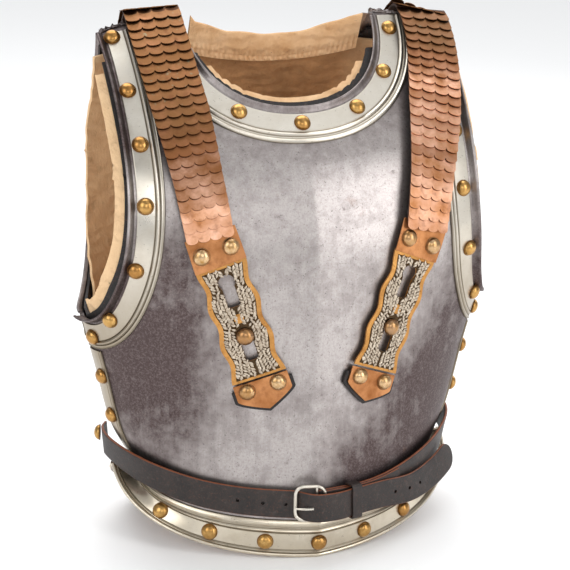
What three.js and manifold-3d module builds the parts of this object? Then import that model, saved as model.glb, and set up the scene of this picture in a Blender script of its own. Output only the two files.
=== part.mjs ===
// A cavalry officer's cuirass: a breastplate and a backplate, hung from two scale-covered shoulder
// straps and drawn in by a leather waist belt. Millimetres, +Z up, the front faces -Y.
import * as THREE from "three";
import { mergeVertices } from "three/addons/utils/BufferGeometryUtils.js";
import Module from "manifold-3d";

const wasm = await Module();
wasm.setup();

// ---------------------------------------------------------------- driving dimensions

// The torso form, one row per height. z is the height at the centre line, lift how much higher the
// row runs at the flanks, halfWidth and parting are shared by the plates, front and back are their
// depths from the parting, square is the fullness of the corners, ridge the medial keel of the
// breast and hollow the groove down the spine.
const TORSO = [
  { z: 0, lift: 68, halfWidth: 172, parting: 0, front: 99, square: 2.0, ridge: 18, back: 104, hollow: 0 },
  { z: 40, lift: 24, halfWidth: 147, parting: 0, front: 98, square: 2.2, ridge: 21, back: 86, hollow: 3 },
  { z: 105, lift: 6, halfWidth: 170, parting: 0, front: 89, square: 2.0, ridge: 22, back: 92, hollow: 7 },
  { z: 175, lift: 0, halfWidth: 186, parting: 0, front: 86, square: 2.0, ridge: 20, back: 108, hollow: 9 },
  { z: 245, lift: 0, halfWidth: 204, parting: 0, front: 86, square: 2.2, ridge: 15, back: 122, hollow: 9 },
  { z: 305, lift: 0, halfWidth: 222, parting: 0, front: 83, square: 2.5, ridge: 10, back: 128, hollow: 7 },
  { z: 365, lift: 0, halfWidth: 225, parting: 1, front: 63, square: 2.7, ridge: 6, back: 122, hollow: 4 },
  { z: 420, lift: 0, halfWidth: 205, parting: 7, front: 26, square: 2.6, ridge: 3, back: 94, hollow: 2 },
  { z: 492, lift: -32, halfWidth: 180, parting: 50, front: 5, square: 2.2, ridge: 0, back: 5, hollow: 0 },
];
const LAST_ROW = TORSO.length - 1;
const RIDGE_SPREAD = 0.9;
const HOLLOW_SPREAD = 0.35;
const FLOOR_CUT = 1.6;
const PARTING_GAP = 0.4;
const PLATE = { outer: 0, inner: -2.2 };

// The openings as seen from the front. An arm opening is a quarter ellipse from the armpit (pit)
// up to (x, z) and then a nearly straight edge to the shoulder; the neck is a half superellipse.
const ARM = {
  front: { x: 161, z: 357, pit: 217, top: 167 },
  back: { x: 166, z: 345, pit: 219, top: 167 },
};
const NECK = {
  front: { halfWidth: 98, floor: 408, square: 2.25 },
  back: { halfWidth: 98, floor: 448, square: 2.4 },
};
const EDGE_TOP = 488;

// Edge profiles are [s, h] pairs: s runs over the plate away from the edge, h stands off the plate.
const ARM_LIP = {
  front: [[1.3, -0.9], [-3.2, 5.9], [-5.2, 6.5], [-5.6, 5.2], [-1.2, -1.9]],
  back: [[1.3, -0.9], [-1.6, 1.9], [-2.8, 2.3], [-3.2, 1.1], [-1.2, -1.9]],
};
const NECK_LIP = [[1.3, -0.9], [-2.8, 2.2], [-4.6, 2.6], [-4.8, 1.2], [-1.2, -1.9]];
const BAND_GAP = 1.3;
const PLATE_CLEARANCE = 0.5;
const BAND = 1.2;
const BEAD_RISE = 0.9;
const ARM_BAND = { start: 2.2, end: 27.5, bead: 4 };
const SIDE_BAND = { start: 1.2, end: 26, bead: 4, low: 1.35, high: 3.13, steps: 6 };
const NECK_BAND = { start: 2.4, end: 33, bead: 9 };
const WAIST_BAND = { start: 2.5, end: 40, bead: 5, reach: 0.985 };

const RIVET = { radius: 7, height: 5.5, sides: 7 };
const FACET_RIVET = { radius: 7, height: 5.5, sides: 5, plain: true };
const RIVET_GAP = 0.4;
// Rivet places as seen from the front, given for one half and mirrored to the other. The left
// strap lies over the places marked under it, and no head is made there.
const NECK_RIVETS = {
  front: [
    { name: "inner", x: 57, z: 409.5 },
    { name: "outer", x: 92, z: 437, under: "left strap" },
    { name: "shoulder", x: 110, z: 472, under: "left strap" },
  ],
  back: [{ name: "inner", x: 52, z: 438 }, { name: "outer", x: 97, z: 456 }],
};
const NECK_CENTRE_RIVET = { front: 399, back: 431 };
const ARM_RIVETS = {
  front: [{ x: 154, z: 428 }, { x: 151, z: 386 }, { x: 152, z: 336 }, { x: 161, z: 278 }, { x: 179, z: 226 },
    { x: 189.5, z: 203 }],
  back: [{ x: 153, z: 424 }, { x: 153, z: 378 }, { x: 156, z: 330 }, { x: 166, z: 278 }, { x: 173, z: 231 }],
};
const SIDE_RIVETS = [{ z: 156 }, { z: 116 }];
const SIDE_RIVET_ROW = 0.9;
const WAIST_RIVETS = [{ name: "inner", t: 0.2 }, { name: "middle", t: 0.42 }, { name: "outer", t: 0.66 }];
const WAIST_RIVET_ROW = 0.56;
const WAIST_RIVET_RISE = 1.8;

// Lining sheets: how far inside the plate they lie and how far they reach out of the openings.
const BREAST_LINING = { outer: -8, inner: -10.4, arm: 9, neck: 4, last: 7.5 };
const BACK_LINING = { outer: -8.9, inner: -11.4, arm: 11, neck: 1, last: 7.72 };
// The collar stands on the back lining: bottom is its lower edge at the middle, rise how much higher
// its ends sit, and lean how far it tips forward for each millimetre up.
const COLLAR = {
  outer: -13.4, inner: -16.4, half: 83, bottom: 446.5, rise: 12, height: 37, lean: 0.48, steps: 16,
};

// Shoulder straps: the centre line up the breast, over the shoulder and down the back. The two hang
// a little differently. lift is the underside's height over the plate, which clears the bands.
const STRAP = {
  width: 46, leather: 2.4, scale: 0.9, step: 2.6, gap: 1.3, pitch: 10, start: 0.01, end: 0.99,
};
const STRAP_ROUTES = {
  left: {
    side: -1,
    lift: 5.6,
    front: [
      { x: 98.5, z: 310 }, { x: 104.5, z: 348 }, { x: 110, z: 392 }, { x: 115.5, z: 440 },
      { x: 118, z: 468 },
    ],
    shoulder: { x: 121, y: 50, z: 494 },
    back: [{ x: 120, z: 466 }, { x: 118, z: 428 }, { x: 116, z: 398 }],
    stud: { x: 67, z: 219 },
    lean: 19.5,
  },
  right: {
    side: 1,
    lift: 7.5,
    front: [
      { x: 104.5, z: 306 }, { x: 112, z: 342 }, { x: 124, z: 384 }, { x: 139, z: 432 }, { x: 145, z: 464 },
    ],
    shoulder: { x: 146, y: 48, z: 485 },
    back: [{ x: 138, z: 462 }, { x: 130, z: 428 }, { x: 124, z: 398 }],
    stud: { x: 71, z: 216 },
    lean: 21.5,
  },
};

// The keyhole plate and its neighbours, in a frame at the breast stud: along runs up the strap.
const CLAMP = { bottom: 70, top: 93, halfWidth: 24, rivetAlong: 83, rivetAcross: 13.5 };
const KEY_PLATE = { bottom: -42, top: 68, halfTop: 21.5, halfBottom: 23.5, wave: 1.6, waves: 3 };
const KEYHOLES = [{ along: 0, slot: -24 }, { along: 53, slot: 29 }];
const KEYHOLE = { radius: 8.2, slotHalf: 5.4 };
const TIP = { bottom: -72, shoulder: -60, top: -44, halfWidth: 25.5, rivetAlong: -52, rivetAcross: 14.5 };
const TIP_BACKING = { margin: 3 };
const HEEL = { rows: 3, rivetAcross: 13 };
const METAL_SHEET = 1.6;
const DOME_SINK = 1.2;
const PATCH = { backing: 1.8, sheet: 4.4 };
const STUD = { foot: 0.8, neck: 5.2, neckHeight: 7, head: 8, headHeight: 6 };

// Belt rows run round the body. girth is 0 at the front centre, 1 at the right flank and beyond 1
// on the back; z is the belt's centre height, off how far its inner face stands from the highest
// part of the form under it, and tilt the angle by which its face looks up.
const BELT = { width: 27, thick: 2.6, segments: 26 };
const TONGUE = [
  { girth: -1.2, z: 92, off: 3.8, tilt: 0 }, { girth: -1, z: 87, off: 4.4, tilt: -8 },
  { girth: -0.75, z: 76, off: 4.2, tilt: -6 }, { girth: -0.5, z: 65, off: 4, tilt: 0 },
  { girth: -0.3, z: 60, off: 3.8, tilt: 3 }, { girth: -0.14, z: 58, off: 4, tilt: 4 },
  { girth: -0.1, z: 57.5, off: 4, tilt: 4 }, { girth: -0.02, z: 57, off: 14.6, tilt: 4 },
  { girth: 0.04, z: 56.5, off: 15.2, tilt: 4 }, { girth: 0.12, z: 56, off: 12.6, tilt: 4 },
  { girth: 0.25, z: 55, off: 11, tilt: 4 },
  { girth: 0.44, z: 49, off: 10, tilt: 10 }, { girth: 0.62, z: 49, off: 10, tilt: 18 },
  { girth: 0.78, z: 53, off: 10, tilt: 24 }, { girth: 0.9, z: 59, off: 10, tilt: 26 },
];
const BUCKLE_STRAP = [
  { girth: -0.01, z: 57, off: 4, tilt: 4 }, { girth: 0.22, z: 57.5, off: 5.8, tilt: 4 },
  { girth: 0.45, z: 64, off: 4.4, tilt: 0 }, { girth: 0.7, z: 76, off: 4.2, tilt: -6 },
  { girth: 0.95, z: 87, off: 4.4, tilt: -8 }, { girth: 1.2, z: 92, off: 3.8, tilt: 0 },
];
const BELT_HOLES = [{ girth: -0.31 }, { girth: -0.215 }, { girth: -0.13 }];
const BELT_HOLE_RADIUS = 2.2;
const BUCKLE = { width: 31, height: 39.6, wire: 1.6, row: { girth: -0.04, z: 57.5, off: 9, tilt: 4 } };
const PRONG = { length: 16, half: 1.4, row: { girth: -0.078, z: 56, off: 15.6, tilt: 4 } };
const KEEPER = {
  width: 10, height: 35, wall: 1.8, depth: 14, row: { girth: 0.22, z: 56.8, off: 3.8, tilt: 4 },
};
const SIDE_STUD = { girth: 1.13, z: 90, off: 6.8, tilt: 0 };
const SIDE_STUD_DOME = { radius: 8, height: 6, sides: 8 };

// Facets of the sheets: how many across, and how far apart the rows lie from the rim to the shoulder.
const PLATE_GRID = { across: 16, rows: [0, 0.3, 0.6, 0.8, 1, 1.4, 2, 2.6, 3.2] };
const LINING_GRID = { across: 14, rows: [1.15, 1.7, 2.4, 3.1], armSteps: 10 };
const EDGE_STEPS = { arm: 16, neck: 18 };

const LOOKS = {
  steel: { color: 0x8f8886, roughness: 0.38, metalness: 1 },
  nickel_silver: { color: 0xd6d2c8, roughness: 0.3, metalness: 1 },
  brass: { color: 0xb8924a, roughness: 0.28, metalness: 1 },
  copper: { color: 0xc98d68, roughness: 0.35, metalness: 1 },
  gilt: { color: 0xc79a55, roughness: 0.4, metalness: 1 },
  belt_leather: { color: 0x37312f, roughness: 0.6, metalness: 0 },
  buckle_steel: { color: 0x9a948c, roughness: 0.35, metalness: 1 },
  lining: { color: 0xc0966c, roughness: 0.85, metalness: 0 },
};

// ---------------------------------------------------------------- the torso form

const FRONT = { name: "front", depth: "front", sign: -1 };
const BACK = { name: "back", depth: "back", sign: 1 };

// The torso row at a fractional row number, by a Catmull-Rom curve through the table.
function torsoRow(v) {
  const low = Math.min(Math.max(Math.floor(v), 0), LAST_ROW - 1);
  const f = v - low;
  const row = {};
  for (const key of Object.keys(TORSO[0])) {
    const [p0, p1] = [TORSO[low][key], TORSO[low + 1][key]];
    const m0 = low > 0 ? (p1 - TORSO[low - 1][key]) / 2 : p1 - p0;
    const m1 = low < LAST_ROW - 1 ? (TORSO[low + 2][key] - p0) / 2 : p1 - p0;
    const [a, b] = [2 * (p0 - p1) + m0 + m1, 3 * (p1 - p0) - 2 * m0 - m1];
    row[key] = ((a * f + b) * f + m0) * f + p0;
  }
  return row;
}

// A point of one plate's outer face: t runs -1..1 from flank to flank, v is the row number.
function torsoPoint(side, t, v) {
  const row = torsoRow(v);
  const sine = Math.sin((t * Math.PI) / 2);
  const full = (1 - Math.abs(sine) ** row.square) ** (1 / row.square) || 0;
  const keel = row.ridge * Math.max(0, 1 - Math.abs(t) / RIDGE_SPREAD) ** 2;
  const groove = row.hollow * Math.exp(-((t / HOLLOW_SPREAD) ** 2));
  const bulge = side === FRONT ? row.front * full + keel : row.back * full - groove;
  return new THREE.Vector3(row.halfWidth * sine, row.parting + side.sign * bulge, row.z + row.lift * t * t);
}

const STEP = 1e-3;

function torsoTangents(side, t, v) {
  const [t0, t1] = [Math.max(t - STEP, -1), Math.min(t + STEP, 1)];
  const [v0, v1] = [Math.max(v - STEP, 0), Math.min(v + STEP, LAST_ROW)];
  const across = torsoPoint(side, t1, v).sub(torsoPoint(side, t0, v)).divideScalar(t1 - t0);
  const up = torsoPoint(side, t, v1).sub(torsoPoint(side, t, v0)).divideScalar(v1 - v0);
  return { across, up };
}

function torsoNormal(side, t, v) {
  const { across, up } = torsoTangents(side, t, v);
  return across.cross(up).multiplyScalar(-side.sign).normalize();
}

// The place on a plate that shows at (x, z) from the front.
function placeAt(side, x, z) {
  let t = 0;
  let v = 0;
  for (let pass = 0; pass < 8; pass += 1) {
    let [low, high] = [0, LAST_ROW];
    for (let halving = 0; halving < 26; halving += 1) {
      v = (low + high) / 2;
      const row = torsoRow(v);
      if (row.z + row.lift * t * t < z) low = v;
      else high = v;
    }
    t = (Math.asin(THREE.MathUtils.clamp(x / torsoRow(v).halfWidth, -1, 1)) * 2) / Math.PI;
  }
  return { t, v };
}

// The place on a plate nearest to a point, from a starting place close to it.
function nearestPlace(side, point, start) {
  let { t, v } = start;
  for (let pass = 0; pass < 5; pass += 1) {
    const { across, up } = torsoTangents(side, t, v);
    const rest = point.clone().sub(torsoPoint(side, t, v));
    const [a, b, c] = [across.dot(across), across.dot(up), up.dot(up)];
    const [p, q] = [across.dot(rest), up.dot(rest)];
    const det = a * c - b * b + 1e-6;
    t = THREE.MathUtils.clamp(t + THREE.MathUtils.clamp((c * p - b * q) / det, -0.2, 0.2), -1, 1);
    v = THREE.MathUtils.clamp(v + THREE.MathUtils.clamp((a * q - b * p) / det, -1, 1), 0, LAST_ROW);
  }
  return { t, v };
}

function standOff(side, { t, v }, height) {
  return torsoPoint(side, t, v).addScaledVector(torsoNormal(side, t, v), height);
}

// ---------------------------------------------------------------- solids

// A closed mesh from points and triangles, turned so that its faces point out.
function closedGeometry(points, triangles) {
  let volume = 0;
  for (const [a, b, c] of triangles) {
    volume += points[a].dot(new THREE.Vector3().crossVectors(points[b], points[c]));
  }
  const faces = volume < 0 ? triangles.map(([a, b, c]) => [a, c, b]) : triangles;
  const geometry = new THREE.BufferGeometry();
  geometry.setAttribute("position", new THREE.Float32BufferAttribute(points.flatMap((p) => p.toArray()), 3));
  geometry.setIndex(faces.flat());
  return geometry;
}

function welded(geometry) {
  const bare = geometry.clone();
  bare.deleteAttribute("normal");
  bare.deleteAttribute("uv");
  return mergeVertices(bare, 1e-4);
}

function toManifold(geometry) {
  const bare = welded(geometry);
  return new wasm.Manifold(
    new wasm.Mesh({
      numProp: 3,
      vertProperties: new Float32Array(bare.attributes.position.array),
      triVerts: new Uint32Array(bare.index.array),
    }),
  );
}

function fromManifold(solid) {
  const mesh = solid.getMesh();
  const geometry = new THREE.BufferGeometry();
  geometry.setAttribute("position", new THREE.BufferAttribute(mesh.vertProperties, 3));
  geometry.setIndex(new THREE.BufferAttribute(mesh.triVerts, 1));
  return geometry;
}

const joined = (...geometries) => fromManifold(geometries.map(toManifold).reduce((a, b) => a.add(b)));
const cut = (geometry, ...tools) =>
  fromManifold(tools.map(toManifold).reduce((a, b) => a.subtract(b), toManifold(geometry)));

function mirrored(geometry) {
  const copy = welded(geometry);
  copy.scale(-1, 1, 1);
  const index = copy.index.array;
  for (let i = 0; i < index.length; i += 3) [index[i], index[i + 1]] = [index[i + 1], index[i]];
  return copy;
}

const box = (x0, x1, y0, y1, z0, z1) =>
  new THREE.BoxGeometry(x1 - x0, y1 - y0, z1 - z0).translate((x0 + x1) / 2, (y0 + y1) / 2, (z0 + z1) / 2);

// A solid through a row of rings, each the same count of points, closed by flat caps.
function loft(rings, capFaces) {
  const size = rings[0].length;
  const triangles = [];
  for (let i = 0; i + 1 < rings.length; i += 1) {
    for (let j = 0; j < size; j += 1) {
      const [a, b] = [i * size + j, i * size + ((j + 1) % size)];
      triangles.push([a, b, b + size], [a, b + size, a + size]);
    }
  }
  const last = (rings.length - 1) * size;
  for (const [a, b, c] of capFaces) triangles.push([a, c, b], [last + a, last + b, last + c]);
  return closedGeometry(rings.flat(), triangles);
}

function capOf(profile) {
  const outline = profile.map(([s, h]) => new THREE.Vector2(s, h));
  return THREE.ShapeUtils.triangulateShape(outline, []);
}

const SQUARE_CAP = [[0, 1, 2], [0, 2, 3]];

// A solid between two sheets of points with the same rows and columns.
function slab(upper, lower) {
  const [rows, columns] = [upper.length, upper[0].length];
  const half = rows * columns;
  const triangles = [];
  const quad = (a, b, c, d) => triangles.push([a, b, c], [a, c, d]);
  const at = (i, j) => i * columns + j;
  for (let i = 0; i + 1 < rows; i += 1) {
    for (let j = 0; j + 1 < columns; j += 1) {
      quad(at(i, j), at(i, j + 1), at(i + 1, j + 1), at(i + 1, j));
      quad(half + at(i + 1, j), half + at(i + 1, j + 1), half + at(i, j + 1), half + at(i, j));
    }
    quad(at(i, 0), at(i + 1, 0), half + at(i + 1, 0), half + at(i, 0));
    const [end, next] = [at(i, columns - 1), at(i + 1, columns - 1)];
    quad(next, end, half + end, half + next);
  }
  for (let j = 0; j + 1 < columns; j += 1) {
    quad(at(0, j + 1), at(0, j), half + at(0, j), half + at(0, j + 1));
    quad(at(rows - 1, j), at(rows - 1, j + 1), half + at(rows - 1, j + 1), half + at(rows - 1, j));
  }
  return closedGeometry([...upper.flat(), ...lower.flat()], triangles);
}

// ---------------------------------------------------------------- plates and their openings

// The arm edge as seen from the front, from the armpit up to the shoulder.
function armEdge(side, steps, reach = 0) {
  const { x, z, pit, top } = ARM[side.name];
  const flank = torsoRow(placeAt(side, 0, pit).v).halfWidth;
  const curved = Math.round(steps * 0.7);
  const points = [];
  for (let i = 0; i <= curved; i += 1) {
    const a = ((i / curved) * Math.PI) / 2;
    points.push([x + (flank - x) * (1 - Math.sin(a)) + reach, pit + (z - pit) * (1 - Math.cos(a)) + reach]);
  }
  for (let i = 1; i <= steps - curved; i += 1) {
    const f = i / (steps - curved);
    points.push([x + (top - x) * f * f + reach, z + (EDGE_TOP - z) * f]);
  }
  return points;
}

// The neck edge as seen from the front, from the left shoulder round to the right.
function neckEdge(side, steps, reach = 0) {
  const { halfWidth, floor, square } = NECK[side.name];
  const points = [];
  for (let i = 0; i <= steps; i += 1) {
    const a = (i / steps - 0.5) * Math.PI;
    const x = Math.sign(Math.sin(a)) * Math.abs(Math.sin(a)) ** (2 / square);
    const z = Math.abs(Math.cos(a)) ** (2 / square);
    points.push([(halfWidth - reach) * x, EDGE_TOP - (EDGE_TOP - floor - reach) * z]);
  }
  return points;
}

// A cutter with an outline seen from the front, from y0 to y1.
function frontCutter(outline, y0, y1) {
  const shape = new THREE.Shape(outline.map(([x, z]) => new THREE.Vector2(x, z)));
  const geometry = new THREE.ExtrudeGeometry(shape, { depth: y1 - y0, bevelEnabled: false });
  return geometry.rotateX(Math.PI / 2).translate(0, y1, 0);
}

function neckCutter(side, reach) {
  const high = 540;
  const [y0, y1] = side === FRONT ? [-200, 58] : [-20, 200];
  const neck = neckEdge(side, EDGE_STEPS.neck, reach);
  return frontCutter([...neck, [neck.at(-1)[0], high], [neck[0][0], high]], y0, y1);
}

// The rows of a sheet: whole rows from the rim to the armpit, then rows that end on the arm edge.
function sheetRows(side, whole, armSteps, reach) {
  const open = armEdge(side, armSteps, reach).map(([x, z]) => placeAt(side, x, z));
  const below = whole.filter((v) => v < open[0].v - 0.1).map((v) => ({ v, t: 1 }));
  return [...below, ...open.map(({ t, v }) => ({ v, t: Math.min(1, t) }))];
}

// A sheet that follows one plate between two heights off its outer face.
function sheet(side, outer, inner, across, rows) {
  const layer = (height) =>
    rows.map(({ v, t }) => Array.from({ length: across + 1 }, (_, j) => {
      const place = { t: t * ((2 * j) / across - 1), v };
      return standOff(side, place, height);
    }));
  return slab(layer(outer), layer(inner));
}

// A strip along an edge of a plate. Parts of the profile past the edge stand free of the form.
function edgeStrip(side, edge, inward, profile, growth = () => 1) {
  const places = edge.map(([x, z]) => placeAt(side, x, z));
  const points = places.map(({ t, v }) => torsoPoint(side, t, v));
  const rings = places.map((place, i) => {
    const before = points[Math.max(i - 1, 0)];
    const along = points[Math.min(i + 1, points.length - 1)].clone().sub(before).normalize();
    const normal = torsoNormal(side, place.t, place.v);
    const away = normal.clone().cross(along).multiplyScalar(inward).normalize();
    const scale = growth(i / (places.length - 1));
    return profile.map(([s, h]) => {
      const target = points[i].clone().addScaledVector(away, s);
      if (s <= 0) return target.addScaledVector(normal, h > 0 ? h * scale : h);
      return standOff(side, nearestPlace(side, target, place), h);
    });
  });
  return loft(rings, capOf(profile));
}

// The profile of a raised band with a bead near its inner edge.
function bandProfile({ start, end, bead }) {
  const top = BAND_GAP + BAND;
  const middle = (start + end) / 2;
  return [
    [start, BAND_GAP], [middle, BAND_GAP], [end, BAND_GAP], [end, top],
    [end - bead / 2, top + BEAD_RISE], [end - bead, top], [start, top],
  ];
}

const armpitGrowth = (share) => 1 + 0.25 * Math.max(0, 1 - share / 0.2) ** 2;

function plateSheet(side, outer) {
  const rows = sheetRows(side, PLATE_GRID.rows, EDGE_STEPS.arm, 0);
  return sheet(side, outer, PLATE.inner, PLATE_GRID.across, rows);
}

function plate(side) {
  const body = plateSheet(side, PLATE.outer);
  const floor = box(-300, 300, -200, 200, -40, FLOOR_CUT);
  const opened = cut(body, neckCutter(side, 0), floor);
  const turn = side === FRONT ? 1 : -1;
  const armLip = edgeStrip(side, armEdge(side, EDGE_STEPS.arm), turn, ARM_LIP[side.name], armpitGrowth);
  const neckLip = edgeStrip(side, neckEdge(side, EDGE_STEPS.neck), -turn, NECK_LIP);
  const whole = joined(opened, armLip, mirrored(armLip), neckLip);
  return cut(whole, partingCutter(side));
}

// Clears the flanks so that the two plates stay apart where they part.
function partingCutter(side) {
  const [y0, y1] = side === FRONT ? [-PARTING_GAP, 60] : [-60, PARTING_GAP];
  return box(-300, 300, y0, y1, -10, 300);
}

// ---------------------------------------------------------------- bands and rivets

// A domed rivet head standing on a place of the torso form.
function domeSolid({ radius, height, sides, plain }) {
  const shoulder = [radius * 0.94, height * 0.4];
  const crown = [radius * 0.6, height * 0.85];
  const outline = [[0, 0], [radius, 0], ...(plain ? [] : [shoulder]), crown, [0, height]];
  return new THREE.LatheGeometry(outline.map(([r, z]) => new THREE.Vector2(r, z)), sides);
}

function rivetAt(side, place, base, spec) {
  const dome = domeSolid(spec);
  const normal = torsoNormal(side, place.t, place.v);
  const turn = new THREE.Quaternion().setFromUnitVectors(new THREE.Vector3(0, 1, 0), normal);
  const foot = standOff(side, place, base);
  return welded(dome.applyQuaternion(turn).translate(foot.x, foot.y, foot.z));
}

const JOINED_BASE = BAND_GAP - 0.4;
const LOOSE_BASE = BAND_GAP + BAND + RIVET_GAP;

// A slightly fattened plate, with which a band and its heads are trimmed clear of the real one.
function plateGauge(side) {
  const grown = (profile) => profile.map(([s, h]) => [s + PLATE_CLEARANCE, h + PLATE_CLEARANCE]);
  const turn = side === FRONT ? 1 : -1;
  const body = plateSheet(side, PLATE_CLEARANCE);
  const armEdges = armEdge(side, EDGE_STEPS.arm);
  const armLip = edgeStrip(side, armEdges, turn, grown(ARM_LIP[side.name]), armpitGrowth);
  const neckLip = edgeStrip(side, neckEdge(side, EDGE_STEPS.neck), -turn, grown(NECK_LIP));
  return joined(body, armLip, mirrored(armLip), neckLip);
}

const GAUGE = { front: plateGauge(FRONT), back: plateGauge(BACK) };
const trimmed = (side, ...parts) => cut(joined(...parts), GAUGE[side.name], partingCutter(side));

function armBand(side) {
  const turn = side === FRONT ? 1 : -1;
  const strip = edgeStrip(side, armEdge(side, EDGE_STEPS.arm), turn, bandProfile(ARM_BAND));
  const heads = ARM_RIVETS[side.name].map(({ x, z }) =>
    rivetAt(side, placeAt(side, x, z), JOINED_BASE, FACET_RIVET));
  return trimmed(side, strip, ...heads);
}

// The strip down the flank of the breast, from the arm band to the waist band.
function sideBand() {
  const { low, high, steps } = SIDE_BAND;
  const profile = bandProfile(SIDE_BAND);
  const rings = Array.from({ length: steps + 1 }, (_, i) => {
    const v = low + ((high - low) * i) / steps;
    const edge = torsoPoint(FRONT, 1, v);
    const forward = new THREE.Vector3(0, -1, 0);
    return profile.map(([s, h]) => {
      const place = nearestPlace(FRONT, edge.clone().addScaledVector(forward, s), { t: 0.9, v });
      return standOff(FRONT, place, h);
    });
  });
  const strip = loft(rings, capOf(profile));
  const heads = SIDE_RIVETS.map(({ z }) => {
    const { v } = placeAt(FRONT, 0, z);
    return rivetAt(FRONT, { t: SIDE_RIVET_ROW, v }, JOINED_BASE, FACET_RIVET);
  });
  return trimmed(FRONT, strip, ...heads);
}

function neckBand(side) {
  const turn = side === FRONT ? -1 : 1;
  return edgeStrip(side, neckEdge(side, EDGE_STEPS.neck), turn, bandProfile(NECK_BAND));
}

const neckRivet = (side, x, z, base, spec) => rivetAt(side, placeAt(side, x, z), base, spec);
const waistRivet = (side, t, base, spec) =>
  rivetAt(side, { t, v: WAIST_RIVET_ROW }, base, spec);

// The band of the backplate's neck with its five rivets.
function backNeckBand() {
  const heads = NECK_RIVETS.back.flatMap(({ x, z }) =>
    [-x, x].map((place) => neckRivet(BACK, place, z, JOINED_BASE, FACET_RIVET)));
  const centre = neckRivet(BACK, 0, NECK_CENTRE_RIVET.back, JOINED_BASE, FACET_RIVET);
  return trimmed(BACK, neckBand(BACK), centre, ...heads);
}

function backWaistBand() {
  const places = [0, ...WAIST_RIVETS.flatMap(({ t }) => [-t, t])];
  return joined(waistBand(BACK), ...places.map((t) => waistRivet(BACK, t, JOINED_BASE, FACET_RIVET)));
}

// The band over the flared waist. Its rows follow the rows of the torso form.
function waistBand(side) {
  const profile = bandProfile(WAIST_BAND);
  const rings = Array.from({ length: PLATE_GRID.across + 1 }, (_, i) => {
    const t = THREE.MathUtils.clamp((2 * i) / PLATE_GRID.across - 1, -WAIST_BAND.reach, WAIST_BAND.reach);
    return profile.map(([s, h]) => standOff(side, { t, v: 0.08 + (s / WAIST_BAND.end) * 0.92 }, h));
  });
  return loft(rings, capOf(profile));
}

// ---------------------------------------------------------------- linings

function lining(side, { outer, inner, arm, neck, last }) {
  const rows = sheetRows(side, LINING_GRID.rows, LINING_GRID.armSteps, arm).filter(({ v }) => v < last);
  const body = sheet(side, outer, inner, LINING_GRID.across, rows);
  return cut(body, neckCutter(side, neck), partingCutter(side));
}

// The padded collar that stands up behind the wearer's neck.
function collar() {
  const { outer, inner, half, bottom, rise, height, lean, steps } = COLLAR;
  const up = new THREE.Vector3(0, -lean, 1).normalize();
  const rings = Array.from({ length: steps + 1 }, (_, i) => {
    const share = (2 * i) / steps - 1;
    const place = placeAt(BACK, share * half, bottom + rise * share * share);
    const [within, without] = [standOff(BACK, place, inner), standOff(BACK, place, outer)];
    const raised = (point) => point.clone().addScaledVector(up, height);
    return [within, raised(within), raised(without), without];
  });
  return loft(rings, SQUARE_CAP);
}

// ---------------------------------------------------------------- shoulder straps

// The strap's centre line with the direction that faces away from the body.
function strapLine({ side, lift, front, shoulder, back }) {
  const stops = [];
  const add = (plateSide, rows) => {
    for (const { x, z } of rows) {
      const place = placeAt(plateSide, side * x, z);
      const normal = torsoNormal(plateSide, place.t, place.v);
      stops.push({ point: standOff(plateSide, place, lift), normal });
    }
  };
  add(FRONT, front);
  const crest = { point: new THREE.Vector3(side * shoulder.x, shoulder.y, shoulder.z), normal: null };
  const before = stops.at(-1);
  stops.push(crest);
  add(BACK, back);
  const after = stops[stops.indexOf(crest) + 1];
  crest.normal = before.normal.clone().add(after.normal).normalize();
  return {
    centre: new THREE.CatmullRomCurve3(stops.map((stop) => stop.point), false, "centripetal"),
    facing: new THREE.CatmullRomCurve3(stops.map((stop) => stop.normal), false, "centripetal"),
  };
}

// A frame at a share of the strap's length: along the strap, across it, and out from the body.
function strapFrame(line, share) {
  const parameter = line.centre.getUtoTmapping(share);
  const along = line.centre.getTangent(parameter);
  const facing = line.facing.getPoint(parameter);
  const across = along.clone().cross(facing).normalize();
  const out = across.clone().cross(along).normalize();
  return { origin: line.centre.getPoint(parameter), along, across, out };
}

function strapPoint(frame, across, out) {
  return frame.origin.clone().addScaledVector(frame.across, across).addScaledVector(frame.out, out);
}

const scaleRows = (line) => Math.round(line.centre.getLength() / STRAP.pitch);
const strapShare = (f) => STRAP.start + (STRAP.end - STRAP.start) * f;

function strapLeather(line) {
  const [half, rows] = [STRAP.width / 2 - 1.5, scaleRows(line)];
  const rings = Array.from({ length: rows + 1 }, (_, i) => {
    const frame = strapFrame(line, strapShare(i / rows));
    const profile = [[-half, 0], [half, 0], [half, STRAP.leather], [-half, STRAP.leather]];
    return profile.map(([across, out]) => strapPoint(frame, across, out));
  });
  return loft(rings, SQUARE_CAP);
}

// The scales as one skin: every row rises to its free lower edge and steps down onto the next.
function strapScales(line) {
  const base = STRAP.leather + STRAP.gap;
  const [half, rows] = [STRAP.width / 2, scaleRows(line)];
  const heights = [];
  for (let row = 0; row < rows - HEEL.rows; row += 1) {
    heights.push({ share: row / rows, out: base + STRAP.scale + STRAP.step });
    heights.push({ share: (row + 0.96) / rows, out: base + STRAP.scale });
  }
  const rings = heights.map(({ share, out }) => {
    const frame = strapFrame(line, strapShare(share));
    const outline = [[half, base], [-half, base], [-half, out], [half, out]];
    return outline.map(([across, height]) => strapPoint(frame, across, height));
  });
  return loft(rings, SQUARE_CAP);
}

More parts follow.
